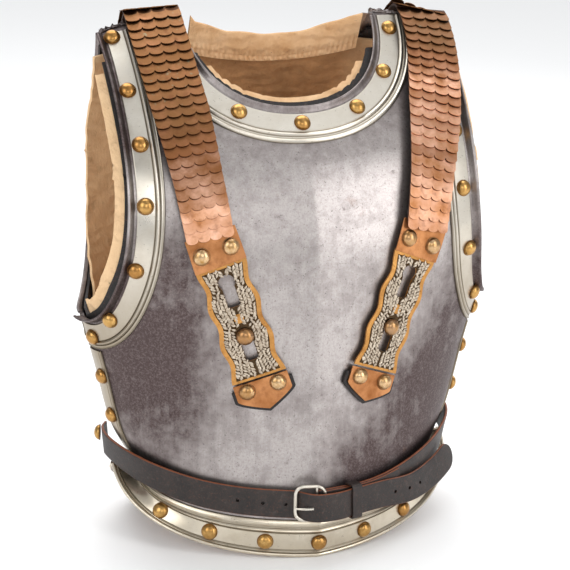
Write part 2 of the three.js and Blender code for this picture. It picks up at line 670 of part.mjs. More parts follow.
// The plate with two domes that holds the strap's end to the backplate.
function strapHeel(line) {
  const [half, rows] = [STRAP.width / 2, scaleRows(line)];
  const low = STRAP.leather + STRAP.gap;
  const high = low + METAL_SHEET;
  const rings = Array.from({ length: HEEL.rows + 1 }, (_, i) => {
    const share = (rows - HEEL.rows + Math.max(i, 0.1)) / rows;
    const frame = strapFrame(line, strapShare(share));
    return [[half, low], [-half, low], [-half, high], [half, high]].map(([a, o]) => strapPoint(frame, a, o));
  });
  const frame = strapFrame(line, strapShare(1 - HEEL.rows / 2 / rows));
  const turn = new THREE.Quaternion().setFromUnitVectors(new THREE.Vector3(0, 1, 0), frame.out);
  const domes = [-1, 1].map((hand) => {
    const foot = strapPoint(frame, hand * HEEL.rivetAcross, high - DOME_SINK);
    return welded(domeSolid(RIVET).applyQuaternion(turn).translate(foot.x, foot.y, foot.z));
  });
  return joined(loft(rings, SQUARE_CAP), ...domes);
}

// A flat frame on the breast at a stud: local x across, y up along the strap, z out.
function patchAt({ side, stud, lean }) {
  const place = placeAt(FRONT, side * stud.x, stud.z);
  const origin = torsoPoint(FRONT, place.t, place.v);
  const out = torsoNormal(FRONT, place.t, place.v);
  const angle = THREE.MathUtils.degToRad(lean);
  const rough = new THREE.Vector3(side * Math.sin(angle), 0, Math.cos(angle));
  const along = rough.addScaledVector(out, -rough.dot(out)).normalize();
  const across = along.clone().cross(out).normalize();
  return { place, origin, along, across, out };
}

// Bends a flat solid in a patch's frame onto the breast.
function bentOnto(patch, geometry) {
  const bent = welded(geometry);
  const position = bent.attributes.position;
  for (let i = 0; i < position.count; i += 1) {
    const target = patch.origin.clone();
    target.addScaledVector(patch.across, position.getX(i)).addScaledVector(patch.along, position.getY(i));
    const place = nearestPlace(FRONT, target, patch.place);
    const point = standOff(FRONT, place, position.getZ(i));
    position.setXYZ(i, point.x, point.y, point.z);
  }
  return bent;
}

function flat(shape, low, high) {
  const options = { depth: high - low, bevelEnabled: false, curveSegments: 5 };
  const geometry = new THREE.ExtrudeGeometry(shape, options);
  return geometry.translate(0, 0, low);
}

// The wavy outline of the keyhole plate, with a round hole and a slot below it at each keyhole.
function keyPlateShape() {
  const { bottom, top, halfTop, halfBottom, wave, waves } = KEY_PLATE;
  const steps = 12;
  const edge = Array.from({ length: steps + 1 }, (_, i) => {
    const f = i / steps;
    const ripple = wave * Math.cos(2 * Math.PI * waves * f);
    return new THREE.Vector2(halfBottom + (halfTop - halfBottom) * f + ripple, bottom + (top - bottom) * f);
  });
  const other = edge.map(({ x, y }) => new THREE.Vector2(-x, y)).reverse();
  const shape = new THREE.Shape([...edge, ...other]);
  for (const { along, slot } of KEYHOLES) {
    const { radius, slotHalf } = KEYHOLE;
    const mouth = Math.asin(slotHalf / radius);
    const hole = new THREE.Path();
    hole.moveTo(-slotHalf, slot).lineTo(slotHalf, slot);
    hole.absarc(0, along, radius, mouth - Math.PI / 2, 1.5 * Math.PI - mouth, false);
    shape.holes.push(hole);
  }
  return shape;
}

function tipShape(margin) {
  const { bottom, shoulder, top, halfWidth } = TIP;
  const [half, low, high] = [halfWidth + margin, shoulder - margin * 0.4, top - margin * 2];
  const corners = [[half, low], [half, high], [-half, high], [-half, low], [0, bottom - margin]];
  return new THREE.Shape(corners.map(([x, y]) => new THREE.Vector2(x, y)));
}

function clampShape() {
  const { bottom, top, halfWidth } = CLAMP;
  return new THREE.Shape([
    new THREE.Vector2(-halfWidth, bottom), new THREE.Vector2(halfWidth, bottom),
    new THREE.Vector2(halfWidth, top), new THREE.Vector2(-halfWidth, top),
  ]);
}

// A dome on a patch, sunk into the sheet below it.
function patchDome(patch, across, along, base, spec) {
  const target = patch.origin.clone().addScaledVector(patch.across, across);
  target.addScaledVector(patch.along, along);
  return rivetAt(FRONT, nearestPlace(FRONT, target, patch.place), base, spec);
}

function strapMetal(route) {
  const patch = patchAt(route);
  const [low, high] = [PATCH.sheet, PATCH.sheet + METAL_SHEET];
  const domes = (spec, base) =>
    [-1, 1].map((hand) => patchDome(patch, hand * spec.rivetAcross, spec.rivetAlong, base, RIVET));
  const clamp = bentOnto(patch, flat(clampShape(), low, high));
  const tip = bentOnto(patch, flat(tipShape(0), low, high));
  return {
    clamp: joined(clamp, ...domes(CLAMP, high - DOME_SINK)),
    key_plate: bentOnto(patch, flat(keyPlateShape(), low, high)),
    tip: joined(tip, ...domes(TIP, high - DOME_SINK)),
    tip_backing: bentOnto(patch, flat(tipShape(TIP_BACKING.margin), PATCH.backing, PATCH.sheet - RIVET_GAP)),
    breast_stud: studOn(patch),
  };
}

// The stud that the keyhole hooks over: a neck through the hole and a domed head above it.
function studOn(patch) {
  const { neck, neckHeight, head, headHeight } = STUD;
  const outline = [[0, 0], [neck, 0], [neck, neckHeight], [head, neckHeight + 0.6],
    [head * 0.94, neckHeight + headHeight * 0.45], [head * 0.6, neckHeight + headHeight * 0.85],
    [0, neckHeight + headHeight]];
  const body = new THREE.LatheGeometry(outline.map(([r, z]) => new THREE.Vector2(r, z)), RIVET.sides);
  const turn = new THREE.Quaternion().setFromUnitVectors(new THREE.Vector3(0, 1, 0), patch.out);
  const foot = patch.origin.clone().addScaledVector(patch.out, STUD.foot);
  return welded(body.applyQuaternion(turn).translate(foot.x, foot.y, foot.z));
}

// ---------------------------------------------------------------- waist belt

// A place round the body: girth past 1 either way runs onto the back.
function girthPlace(girth, z) {
  const onBack = Math.abs(girth) > 1;
  const side = onBack ? BACK : FRONT;
  const t = onBack ? Math.sign(girth) * (2 - Math.abs(girth)) : girth;
  let [low, high] = [0, LAST_ROW];
  for (let halving = 0; halving < 26; halving += 1) {
    const v = (low + high) / 2;
    const row = torsoRow(v);
    if (row.z + row.lift * t * t < z) low = v;
    else high = v;
  }
  return { side, t, v: (low + high) / 2 };
}

// A point of a belt row, off the highest part of the form that the belt's width covers.
function beltStop({ girth, z, off, tilt }) {
  const base = girthPlace(girth, z);
  const normal = torsoNormal(base.side, base.t, base.v);
  const rise = Math.tan(THREE.MathUtils.degToRad(tilt));
  const out = new THREE.Vector3(normal.x, normal.y, 0).normalize().setZ(rise).normalize();
  const origin = torsoPoint(base.side, base.t, base.v);
  const bulge = [-1, -0.5, 0, 0.5, 1].map((share) => {
    const { side, t, v } = girthPlace(girth, z + (share * BELT.width) / 2);
    return torsoPoint(side, t, v).sub(origin).dot(out);
  });
  return { point: origin.addScaledVector(out, off + Math.max(...bulge)), out };
}

function beltLine(rows) {
  const stops = rows.map(beltStop);
  return {
    centre: new THREE.CatmullRomCurve3(stops.map((stop) => stop.point), false, "centripetal"),
    facing: new THREE.CatmullRomCurve3(stops.map((stop) => stop.out), false, "centripetal"),
  };
}

function beltStrap(rows, roundEnd) {
  const line = beltLine(rows);
  const { width, thick, segments } = BELT;
  const rings = Array.from({ length: segments + 1 }, (_, i) => {
    const frame = strapFrame(line, i / segments);
    const left = (segments - i) / segments * line.centre.getLength();
    const taper = roundEnd ? Math.sqrt(Math.max(0.12, 1 - Math.max(0, 1 - left / (width / 2)) ** 2)) : 1;
    const half = (width / 2) * taper;
    return [[-half, 0], [half, 0], [half, thick], [-half, thick]].map(([a, o]) => strapPoint(frame, a, o));
  });
  return loft(rings, SQUARE_CAP);
}

// A pin across the belt, used to punch its holes and to set its studs.
function belted(row, geometry) {
  const { point, out } = beltStop(row);
  const turn = new THREE.Quaternion().setFromUnitVectors(new THREE.Vector3(0, 1, 0), out);
  return welded(geometry.applyQuaternion(turn).translate(point.x, point.y, point.z));
}

// The belt row at a girth between two rows of its table.
function rowAt(rows, girth) {
  const next = rows.findIndex((row) => row.girth > girth);
  const [a, b] = [rows[next - 1], rows[next]];
  const f = (girth - a.girth) / (b.girth - a.girth);
  const blend = (key) => a[key] + (b[key] - a[key]) * f;
  return { girth, z: blend("z"), off: blend("off"), tilt: blend("tilt") };
}

function tongueStrap() {
  const strap = beltStrap(TONGUE, true);
  const punches = BELT_HOLES.map(({ girth }) => {
    const pin = new THREE.CylinderGeometry(BELT_HOLE_RADIUS, BELT_HOLE_RADIUS, 16, 8);
    return belted(rowAt(TONGUE, girth), pin);
  });
  return cut(strap, ...punches);
}

// Sets a flat solid, drawn with x to the right and y up, upright on the belt at a row.
function uprightOn(row, geometry) {
  const { point, out } = beltStop(row);
  const right = out.clone().cross(new THREE.Vector3(0, 0, 1)).normalize().negate();
  const basis = new THREE.Matrix4().makeBasis(right, out.clone().cross(right), out);
  return welded(geometry.applyMatrix4(basis).translate(point.x, point.y, point.z));
}

function chamferedRectangle(width, height, Kind) {
  const corners = [[-1, -0.7], [-0.7, -1], [0.7, -1], [1, -0.7], [1, 0.7], [0.7, 1], [-0.7, 1], [-1, 0.7]];
  return new Kind(corners.map(([x, y]) => new THREE.Vector2((x * width) / 2, (y * height) / 2)));
}

function buckleFrame() {
  const { width, height, wire, row } = BUCKLE;
  const shape = chamferedRectangle(width, height, THREE.Shape);
  shape.holes.push(chamferedRectangle(width - 4 * wire, height - 4 * wire, THREE.Path));
  return uprightOn(row, new THREE.ExtrudeGeometry(shape, { depth: 2 * wire, bevelEnabled: false }));
}

function prong() {
  const { length, half, row } = PRONG;
  return uprightOn(row, new THREE.BoxGeometry(length, 2 * half, 2 * half));
}

// The leather loop that holds the belt's free end down.
function keeperLoop() {
  const { width, height, wall, depth, row } = KEEPER;
  const outer = new THREE.Shape([
    new THREE.Vector2(-height / 2, 0), new THREE.Vector2(height / 2, 0),
    new THREE.Vector2(height / 2, depth), new THREE.Vector2(-height / 2, depth),
  ]);
  const [inset, low, high] = [height / 2 - wall, wall * 0.6, depth - wall];
  outer.holes.push(new THREE.Path([
    new THREE.Vector2(-inset, low), new THREE.Vector2(inset, low),
    new THREE.Vector2(inset, high), new THREE.Vector2(-inset, high),
  ]));
  const loop = new THREE.ExtrudeGeometry(outer, { depth: width, bevelEnabled: false });
  const unit = (x, y, z) => new THREE.Vector3(x, y, z);
  const basis = new THREE.Matrix4().makeBasis(unit(0, 1, 0), unit(0, 0, 1), unit(1, 0, 0));
  return uprightOn(row, loop.translate(0, 0, -width / 2).applyMatrix4(basis));
}

// ---------------------------------------------------------------- assembly

const cuirass = new THREE.Group();

function addPiece(name, look, geometry) {
  const body = welded(geometry);
  body.computeVertexNormals();
  const mesh = new THREE.Mesh(body, new THREE.MeshStandardMaterial(LOOKS[look]));
  mesh.name = name;
  cuirass.add(mesh);
}

function addPair(name, look, geometry) {
  addPiece(`${name}_right`, look, geometry);
  addPiece(`${name}_left`, look, mirrored(geometry));
}

addPiece("breastplate", "steel", plate(FRONT));
addPiece("backplate", "steel", plate(BACK));
addPiece("breast_neck_band", "nickel_silver", trimmed(FRONT, neckBand(FRONT)));
addPiece("back_neck_band", "nickel_silver", backNeckBand());
addPair("breast_arm_band", "nickel_silver", armBand(FRONT));
addPair("back_arm_band", "nickel_silver", armBand(BACK));
addPair("breast_side_band", "nickel_silver", sideBand());
addPiece("breast_waist_band", "nickel_silver", waistBand(FRONT));
addPiece("back_waist_band", "nickel_silver", backWaistBand());
addPiece("neck_rivet_centre", "brass", neckRivet(FRONT, 0, NECK_CENTRE_RIVET.front, LOOSE_BASE, RIVET));
for (const { name, x, z, under } of NECK_RIVETS.front) {
  const head = neckRivet(FRONT, x, z, LOOSE_BASE, RIVET);
  addPiece(`neck_rivet_${name}_right`, "brass", head);
  if (!under) addPiece(`neck_rivet_${name}_left`, "brass", mirrored(head));
}
addPiece("waist_rivet_centre", "brass", waistRivet(FRONT, 0, LOOSE_BASE + WAIST_RIVET_RISE, RIVET));
for (const { name, t } of WAIST_RIVETS) {
  addPair(`waist_rivet_${name}`, "brass", waistRivet(FRONT, t, LOOSE_BASE + WAIST_RIVET_RISE, RIVET));
}
addPiece("breast_lining", "lining", lining(FRONT, BREAST_LINING));
addPiece("back_lining", "lining", lining(BACK, BACK_LINING));
addPiece("back_collar", "lining", collar());

for (const [hand, route] of Object.entries(STRAP_ROUTES)) {
  const line = strapLine(route);
  addPiece(`strap_leather_${hand}`, "belt_leather", strapLeather(line));
  addPiece(`strap_scales_${hand}`, "copper", strapScales(line));
  addPiece(`strap_heel_${hand}`, "copper", strapHeel(line));
  const metal = strapMetal(route);
  addPiece(`strap_clamp_${hand}`, "copper", metal.clamp);
  addPiece(`key_plate_${hand}`, "gilt", metal.key_plate);
  addPiece(`strap_tip_${hand}`, "copper", metal.tip);
  addPiece(`tip_backing_${hand}`, "belt_leather", metal.tip_backing);
  addPiece(`breast_stud_${hand}`, "brass", metal.breast_stud);
}

addPiece("belt_tongue", "belt_leather", tongueStrap());
addPiece("belt_buckle_strap", "belt_leather", beltStrap(BUCKLE_STRAP, false));
addPiece("belt_buckle", "buckle_steel", buckleFrame());
addPiece("belt_prong", "buckle_steel", prong());
addPiece("belt_keeper", "belt_leather", keeperLoop());
addPair("belt_stud", "brass", belted(SIDE_STUD, domeSolid(SIDE_STUD_DOME)));

// Stands the cuirass on the floor with its bounding box centred over the origin.
function centre(group) {
  const bounds = new THREE.Box3().setFromObject(group, true);
  const middle = bounds.getCenter(new THREE.Vector3());
  for (const mesh of group.children) mesh.geometry.translate(-middle.x, -middle.y, -bounds.min.z);
}

centre(cuirass);

export default cuirass;
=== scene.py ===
# %% [markdown]
# # A cavalry officer's cuirass
# Two steel plates close round the rider: a breastplate with a medial ridge and a backplate. Pale
# nickel-silver borders are riveted along every edge, two shoulder straps covered in copper scales hook
# onto studs on the breast, and a leather belt draws the waist in. The plates stand on their flared rims.
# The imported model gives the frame: every new piece is built in place over the node that it replaces.

# %% Load the frame
import math
import bpy
import numpy as np
from mathutils import Matrix, Vector


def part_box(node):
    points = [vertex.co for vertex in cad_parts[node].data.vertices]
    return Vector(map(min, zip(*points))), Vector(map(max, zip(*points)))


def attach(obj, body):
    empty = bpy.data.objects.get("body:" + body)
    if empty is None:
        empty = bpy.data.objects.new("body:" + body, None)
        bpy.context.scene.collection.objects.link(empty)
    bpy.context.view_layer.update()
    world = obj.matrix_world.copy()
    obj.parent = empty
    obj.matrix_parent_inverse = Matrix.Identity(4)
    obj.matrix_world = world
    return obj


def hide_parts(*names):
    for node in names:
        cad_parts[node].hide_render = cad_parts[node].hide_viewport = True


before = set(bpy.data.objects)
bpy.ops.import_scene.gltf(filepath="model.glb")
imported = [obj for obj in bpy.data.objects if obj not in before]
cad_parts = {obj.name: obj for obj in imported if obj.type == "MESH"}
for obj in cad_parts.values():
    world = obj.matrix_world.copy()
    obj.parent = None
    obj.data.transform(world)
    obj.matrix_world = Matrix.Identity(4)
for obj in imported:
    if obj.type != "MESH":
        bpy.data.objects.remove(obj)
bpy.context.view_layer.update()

# %% [markdown]
# ## The torso form
# Everything lies on one doubly curved form, so it is written once as a table of heights: how wide each
# row is, how far it bulges in front and behind, how full its corners are, how sharp the ridge is. A smooth
# curve runs through the table, and a place on a plate is a pair (t, v): t from flank to flank, v the row.
# The values repeat the driving dimensions of the model, in millimetres.

# %% The form as a table, and points on it
TORSO = {
    "z": [0, 40, 105, 175, 245, 305, 365, 420, 492],
    "lift": [68, 24, 6, 0, 0, 0, 0, 0, -32],
    "half_width": [172, 147, 170, 186, 204, 222, 225, 205, 180],
    "parting": [0, 0, 0, 0, 0, 0, 1, 7, 50],
    "front": [99, 98, 89, 86, 86, 83, 63, 26, 5],
    "square": [2.0, 2.2, 2.0, 2.0, 2.2, 2.5, 2.7, 2.6, 2.2],
    "ridge": [18, 21, 22, 20, 15, 10, 6, 3, 0],
    "back": [104, 86, 92, 108, 122, 128, 122, 94, 5],
    "hollow": [0, 3, 7, 9, 9, 7, 4, 2, 0],
}
LAST_ROW = 8
RIDGE_SPREAD, HOLLOW_SPREAD = 0.9, 0.35
FLOOR_CUT, PARTING_GAP = 1.6, 0.4
FRONT, BACK = -1, 1

MM = 0.001
SHIFT = np.array([0.0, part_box("backplate")[0].y / MM - PARTING_GAP, -FLOOR_CUT])


def row_values(v):
    """Every column of the table at the fractional rows v, on a Catmull-Rom curve."""
    low = np.clip(np.floor(v).astype(int), 0, LAST_ROW - 1)
    f = v - low
    values = {}
    for key, column in TORSO.items():
        p = np.array(column, float)
        slope = np.gradient(p)
        slope[0], slope[-1] = p[1] - p[0], p[-1] - p[-2]
        p0, p1, m0, m1 = p[low], p[low + 1], slope[low], slope[low + 1]
        a, b = 2 * (p0 - p1) + m0 + m1, 3 * (p1 - p0) - 2 * m0 - m1
        values[key] = ((a * f + b) * f + m0) * f + p0
    return values


def on_form(side, t, v):
    """Points of the form's outer face, before they are moved into the frame."""
    t, v = np.broadcast_arrays(np.asarray(t, float), np.asarray(v, float))
    row = row_values(v)
    sine = np.sin(t * math.pi / 2)
    full = np.maximum(1 - np.abs(sine) ** row["square"], 0) ** (1 / row["square"])
    keel = row["ridge"] * np.maximum(0, 1 - np.abs(t) / RIDGE_SPREAD) ** 2
    groove = row["hollow"] * np.exp(-((t / HOLLOW_SPREAD) ** 2))
    bulge = row["front"] * full + keel if side == FRONT else row["back"] * full - groove
    x, y, z = row["half_width"] * sine, row["parting"] + side * bulge, row["z"] + row["lift"] * t * t
    return np.stack([x, y, z], -1)


def slopes(side, t, v, step=1e-3):
    """The form's tangents across and up."""
    t0, t1 = np.maximum(t - step, -1), np.minimum(t + step, 1)
    v0, v1 = np.maximum(v - step, 0), np.minimum(v + step, LAST_ROW)
    across = (on_form(side, t1, v) - on_form(side, t0, v)) / (t1 - t0)[..., None]
    up = (on_form(side, t, v1) - on_form(side, t, v0)) / (v1 - v0)[..., None]
    return across, up


def unit(vectors):
    return vectors / np.maximum(np.linalg.norm(vectors, axis=-1, keepdims=True), 1e-9)


def facing(side, t, v):
    """The outward normal of the form."""
    across, up = slopes(side, np.asarray(t, float), np.asarray(v, float))
    return unit(np.cross(across, up) * -side)


def off_form(side, t, v, height):
    """Points that stand off the form by a height."""
    return on_form(side, t, v) + facing(side, t, v) * np.asarray(height)[..., None]


def place_at(x, z):
    """The place (t, v) of the form that shows at x and z from the front."""
    x, z = np.broadcast_arrays(np.asarray(x, float), np.asarray(z, float))
    t = np.zeros_like(x)
    for _ in range(10):
        low, high = np.zeros_like(x), np.full_like(x, LAST_ROW)
        for _ in range(26):
            v = (low + high) / 2
            row = row_values(v)
            under = row["z"] + row["lift"] * t * t < z
            low, high = np.where(under, v, low), np.where(under, high, v)
        t = np.arcsin(np.clip(x / row_values(v)["half_width"], -1, 1)) * 2 / math.pi
    return t, v


def nearest(side, points, t, v):
    """The places of the form nearest to some points, from starting places close by."""
    for _ in range(6):
        across, up = slopes(side, t, v)
        rest = points - on_form(side, t, v)
        a, b, c = (across * across).sum(-1), (across * up).sum(-1), (up * up).sum(-1)
        p, q = (across * rest).sum(-1), (up * rest).sum(-1)
        det = a * c - b * b + 1e-6
        t = np.clip(t + np.clip((c * p - b * q) / det, -0.2, 0.2), -1, 1)
        v = np.clip(v + np.clip((a * q - b * p) / det, -1, 1), 0, LAST_ROW)
    return t, v


print("chest half width and depth, mm:", on_form(FRONT, 0.0, 5.0), on_form(FRONT, 1.0, 5.0))

# %% [markdown]
# ## The openings
# Seen from the front, an arm opening is a quarter ellipse that climbs from the armpit and then a nearly
# straight edge up to the shoulder. The neck is half of a superellipse. The same curves carry the plates'
# edges, their flanged lips and the borders, so they are worked out once, finely.

# %% Edges as seen from the front
ARM = {
    FRONT: {"x": 161, "z": 357, "pit": 217, "top": 167},
    BACK: {"x": 166, "z": 345, "pit": 219, "top": 167},
}
NECK = {
    FRONT: {"half_width": 98, "floor": 408, "square": 2.25},
    BACK: {"half_width": 98, "floor": 448, "square": 2.4},
}
EDGE_TOP = 488


def arm_edge(side, steps, reach=0.0):
    """Points (x, z) up the arm opening, moved out of it by a reach that may change on the way."""
    arm = ARM[side]
    flank = row_values(place_at(0, arm["pit"])[1])["half_width"]
    curved = round(steps * 0.7)
    a = np.linspace(0, math.pi / 2, curved + 1)
    f = np.linspace(0, 1, steps - curved + 1)[1:]
    x = np.r_[arm["x"] + (flank - arm["x"]) * (1 - np.sin(a)), arm["x"] + (arm["top"] - arm["x"]) * f * f]
    z = np.r_[arm["pit"] + (arm["z"] - arm["pit"]) * (1 - np.cos(a)), arm["z"] + (EDGE_TOP - arm["z"]) * f]
    reach = np.broadcast_to(np.asarray(reach, float), x.shape)
    z[: curved + 1] += reach[: curved + 1]
    return x + reach, z


def neck_edge(side, steps, reach=0.0):
    """Points (x, z) round the neck opening."""
    neck = NECK[side]
    a = np.linspace(-math.pi / 2, math.pi / 2, steps + 1)
    power = 2 / neck["square"]
    x = np.sign(a) * np.abs(np.sin(a)) ** power * (neck["half_width"] - reach)
    z = EDGE_TOP - (EDGE_TOP - neck["floor"] - reach) * np.maximum(np.cos(a), 0) ** power
    return x, z


# %% [markdown]
# ## Turning a grid into a sheet
# A sheet of metal, leather or cloth starts as Blender's own grid primitive. Its vertices are then moved
# onto the form, row by row, which keeps an even mesh of quads that shades smoothly. A closed strip is the
# same grid with its long sides met and merged, so that a moulded border is a profile carried along an edge.

# %% Helpers for meshes
def only(piece):
    """Deselects everything else and makes one piece active."""
    bpy.ops.object.select_all(action="DESELECT")
    piece.select_set(True)
    bpy.context.view_layer.objects.active = piece
    return piece


def in_frame(points):
    """Millimetres on the form to metres in the frame."""
    return (np.asarray(points) + SHIFT) * MM


def set_points(piece, points):
    piece.data.vertices.foreach_set("co", np.ascontiguousarray(points, np.float32).ravel())
    piece.data.update()


def written(piece, name, values):
    """Writes one number on every vertex, which a material can read."""
    layer = piece.data.attributes.new(name, "FLOAT", "POINT")
    layer.data.foreach_set("value", np.broadcast_to(values, len(piece.data.vertices)).astype(np.float32))
    return piece


def primitive(kind, name, **settings):
    """Adds one of Blender's primitives at its size and place, and keeps its place in its mesh."""
    bpy.ops.object.select_all(action="DESELECT")
    getattr(bpy.ops.mesh, f"primitive_{kind}_add")(**settings)
    bpy.ops.object.transform_apply(location=True, rotation=False, scale=True)
    piece = bpy.context.object
    piece.name = name
    return piece


def grid(name, points):
    """A grid primitive whose vertices take a field of points, rows by columns, in metres."""
    rows, columns = points.shape[:2]
    piece = primitive("grid", name, x_subdivisions=columns - 1, y_subdivisions=rows - 1, size=2)
    set_points(piece, points)
    return piece


def edit(piece, *steps):
    """Runs edit-mode operators on the whole of a piece."""
    only(piece)
    bpy.ops.object.mode_set(mode="EDIT")
    bpy.ops.mesh.select_all(action="SELECT")
    for step in steps:
        step()
    bpy.ops.object.mode_set(mode="OBJECT")
    return piece


def weld():
    bpy.ops.mesh.remove_doubles(threshold=0.02 * MM)


def face_out():
    bpy.ops.mesh.normals_make_consistent(inside=False)


def close_ends():
    """Fills the open loops that are left at the ends of a strip."""
    bpy.ops.mesh.select_all(action="DESELECT")
    bpy.ops.mesh.select_mode(type="EDGE")
    bpy.ops.mesh.select_non_manifold(extend=False, use_wire=False, use_boundary=True, use_multi_face=False)
    bpy.ops.mesh.fill_holes(sides=0)
    bpy.ops.mesh.select_mode(type="VERT")
    bpy.ops.mesh.select_all(action="SELECT")


def modifier(piece, kind, **settings):
    """Adds a modifier with its settings and applies it."""
    only(piece)
    item = piece.modifiers.new(kind.lower(), kind)
    for key, value in settings.items():
        setattr(item, key, value)
    bpy.ops.object.modifier_apply(modifier=item.name)
    return piece


def bevelled(piece, width, segments=2, degrees=50):
    """Rounds the sharp edges of a piece by a width in millimetres."""
    return modifier(piece, "BEVEL", width=width * MM, segments=segments, limit_method="ANGLE",
                    angle_limit=math.radians(degrees))


def smooth(piece, degrees=35):
    only(piece)
    bpy.ops.object.shade_smooth_by_angle(angle=math.radians(degrees))
    return piece


def wall(piece, thickness, inward=True):
    """Gives an open sheet its thickness in millimetres."""
    return modifier(piece, "SOLIDIFY", thickness=thickness * MM, offset=-1 if inward else 1)


def strip(name, rings, loop=False, degrees=35, layer=None, values=()):
    """A closed strip through rings of points: rows along an edge, columns round a profile. A loop meets
    itself instead of having ends. A layer writes a number for each column before the seam is welded."""
    if loop:
        rings = np.concatenate([rings, rings[:1]])
    piece = grid(name, in_frame(np.concatenate([rings, rings[:, :1]], axis=1)))
    if layer:
        written(piece, layer, np.tile(np.r_[values, values[:1]], len(rings)))
    return smooth(edit(piece, weld, *([] if loop else [close_ends]), face_out), degrees)


def together(name, *parts):
    """Joins parts into one piece."""
    bpy.ops.object.select_all(action="DESELECT")
    for part in parts:
        part.select_set(True)
    bpy.context.view_layer.objects.active = parts[0]
    bpy.ops.object.join()
    piece = bpy.context.object
    piece.name = name
    return piece


def copied(piece, name, mirror=False):
    """A copy with its own mesh, mirrored across the middle if asked."""
    copy = piece.copy()
    copy.data = piece.data.copy()
    copy.name = name
    bpy.context.scene.collection.objects.link(copy)
    if mirror:
        copy.data.transform(Matrix.Scale(-1, 4, (1, 0, 0)))
        edit(copy, bpy.ops.mesh.flip_normals)
    return copy


done = []


def finish(piece, slot, material, *nodes):
    """Puts a finished piece on the body, with its material and the nodes it stands for. Its slot is not used.
    """
    piece.data.materials.clear()
    piece.data.materials.append(material)
    if nodes:
        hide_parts(*nodes)
    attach(piece, "root")
    done.append(piece)
    return piece

# %% [markdown]
# ## The two plates
# Each plate was raised from one sheet of steel about 2 mm thick. The rows of the grid run from flank to
# flank as far as the armpit, and above it each row ends on the arm edge, so the edge is exact and nothing
# has to be cut there. The neck is opened by taking out the vertices inside it and drawing their neighbours
# onto the curve. A Solidify modifier then gives the sheet its thickness, towards the body.

# %% Build the skins of the plates
FOOT_ROW = 0.09
SHEET = 2.2
END_ROW = 7.97
LEVEL_TOP = 484.0
FLANK_END = 0.992


def plate_rows(side, below, above, reach=0.0, first=FOOT_ROW):
    """The rows of a sheet as pairs: the row number and how far it reaches to either side."""
    t, v = place_at(*arm_edge(side, above, reach))
    low = np.linspace(first, v[0], below, endpoint=False)
    return np.r_[low, v], np.r_[np.ones(below), np.minimum(t, 1)]


def in_neck(side, points, reach=0.0):
    """How far a point seen from the front lies out of the neck opening: under 1 it is inside."""
    neck = NECK[side]
    half, drop = neck["half_width"] - reach, EDGE_TOP - neck["floor"] - reach
    down = np.maximum(EDGE_TOP - points[..., 2], 0) / drop
    return (np.abs(points[..., 0]) / half) ** neck["square"] + down ** neck["square"]


def form_sheet(name, side, v, t, columns, height, neck_reach=0.0, dent=None):
    """A sheet over one plate, open at the neck, at a height off the form."""
    tt = t[:, None] * np.linspace(-1, 1, columns)[None, :]
    vv = np.broadcast_to(v[:, None], tt.shape)
    raised = np.full(tt.shape, float(height)) + (dent(tt, vv) if dent else 0)
    points = off_form(side, tt, vv, raised)
    seen = on_form(side, tt, vv)
    share = in_neck(side, seen, neck_reach)
    inside = share < 1
    outside = np.pad(~inside, 1)
    near = outside[:-2, 1:-1] | outside[2:, 1:-1] | outside[1:-1, :-2] | outside[1:-1, 2:]
    rim = inside & near
    grow = share[rim] ** (-1 / NECK[side]["square"])
    x, z = seen[rim][:, 0] * grow, EDGE_TOP - (EDGE_TOP - seen[rim][:, 2]) * grow
    t_rim, v_rim = place_at(x, z)
    points[rim] = off_form(side, t_rim, v_rim, raised[rim])
    sheet = only(grid(name, in_frame(points)))
    bpy.ops.object.mode_set(mode="EDIT")
    bpy.ops.mesh.select_all(action="DESELECT")
    bpy.ops.object.mode_set(mode="OBJECT")
    sheet.data.vertices.foreach_set("select", (inside & ~near).ravel())
    bpy.ops.object.mode_set(mode="EDIT")
    bpy.ops.mesh.delete(type="VERT")
    bpy.ops.object.mode_set(mode="OBJECT")
    outward_normals(sheet, side)
    return sheet


def outward_normals(sheet, side):
    """Turns an open sheet so that its faces look away from the body."""
    middle = sheet.data.polygons[len(sheet.data.polygons) // 3]
    if middle.normal.y * side < 0:
        edit(sheet, bpy.ops.mesh.flip_normals)


skins = {}
for side, name in ((FRONT, "breastplate"), (BACK, "backplate")):
    v, t = plate_rows(side, 80, 150)
    skins[side] = wall(form_sheet(name, side, v, t, 150, 0.0), SHEET)
    smooth(skins[side])
    print(name, len(skins[side].data.polygons), "faces")

# %% [markdown]
# ## Profiles carried along an edge
# The arm and neck edges are flanged: the steel turns outwards and its edge is rolled. The borders are
# strips of nickel silver with beads and grooves pressed in. Both are profiles, pairs of a distance from
# the edge and a height off the plate, carried along the edge. A short list of features, each with a
# place, a width and a rise, shapes a border's profile.

# %% Carry a profile along an edge of a plate
def along_edge(side, edge, inward, profile, growth=None):
    """Rings of points: profile pairs (s, h) carried along an edge. Past the edge they stand free."""
    t, v = place_at(*edge)
    t, v = t[v < END_ROW], v[v < END_ROW]
    foot, normal = on_form(side, t, v), facing(side, t, v)
    course = unit(np.gradient(foot, axis=0))
    away = unit(np.cross(normal, course) * inward)
    grow = np.ones(len(foot)) if growth is None else growth(np.linspace(0, 1, len(foot)))
    rings = []
    for s, h in profile:
        target = foot + away * s
        if s <= 0:
            lift = h * grow if h > 0 else np.full(len(foot), h)
            rings.append(target + normal * lift[:, None])
        else:
            rings.append(off_form(side, *nearest(side, target, t, v), np.full(len(foot), h)))
    return np.stack(rings, axis=1)


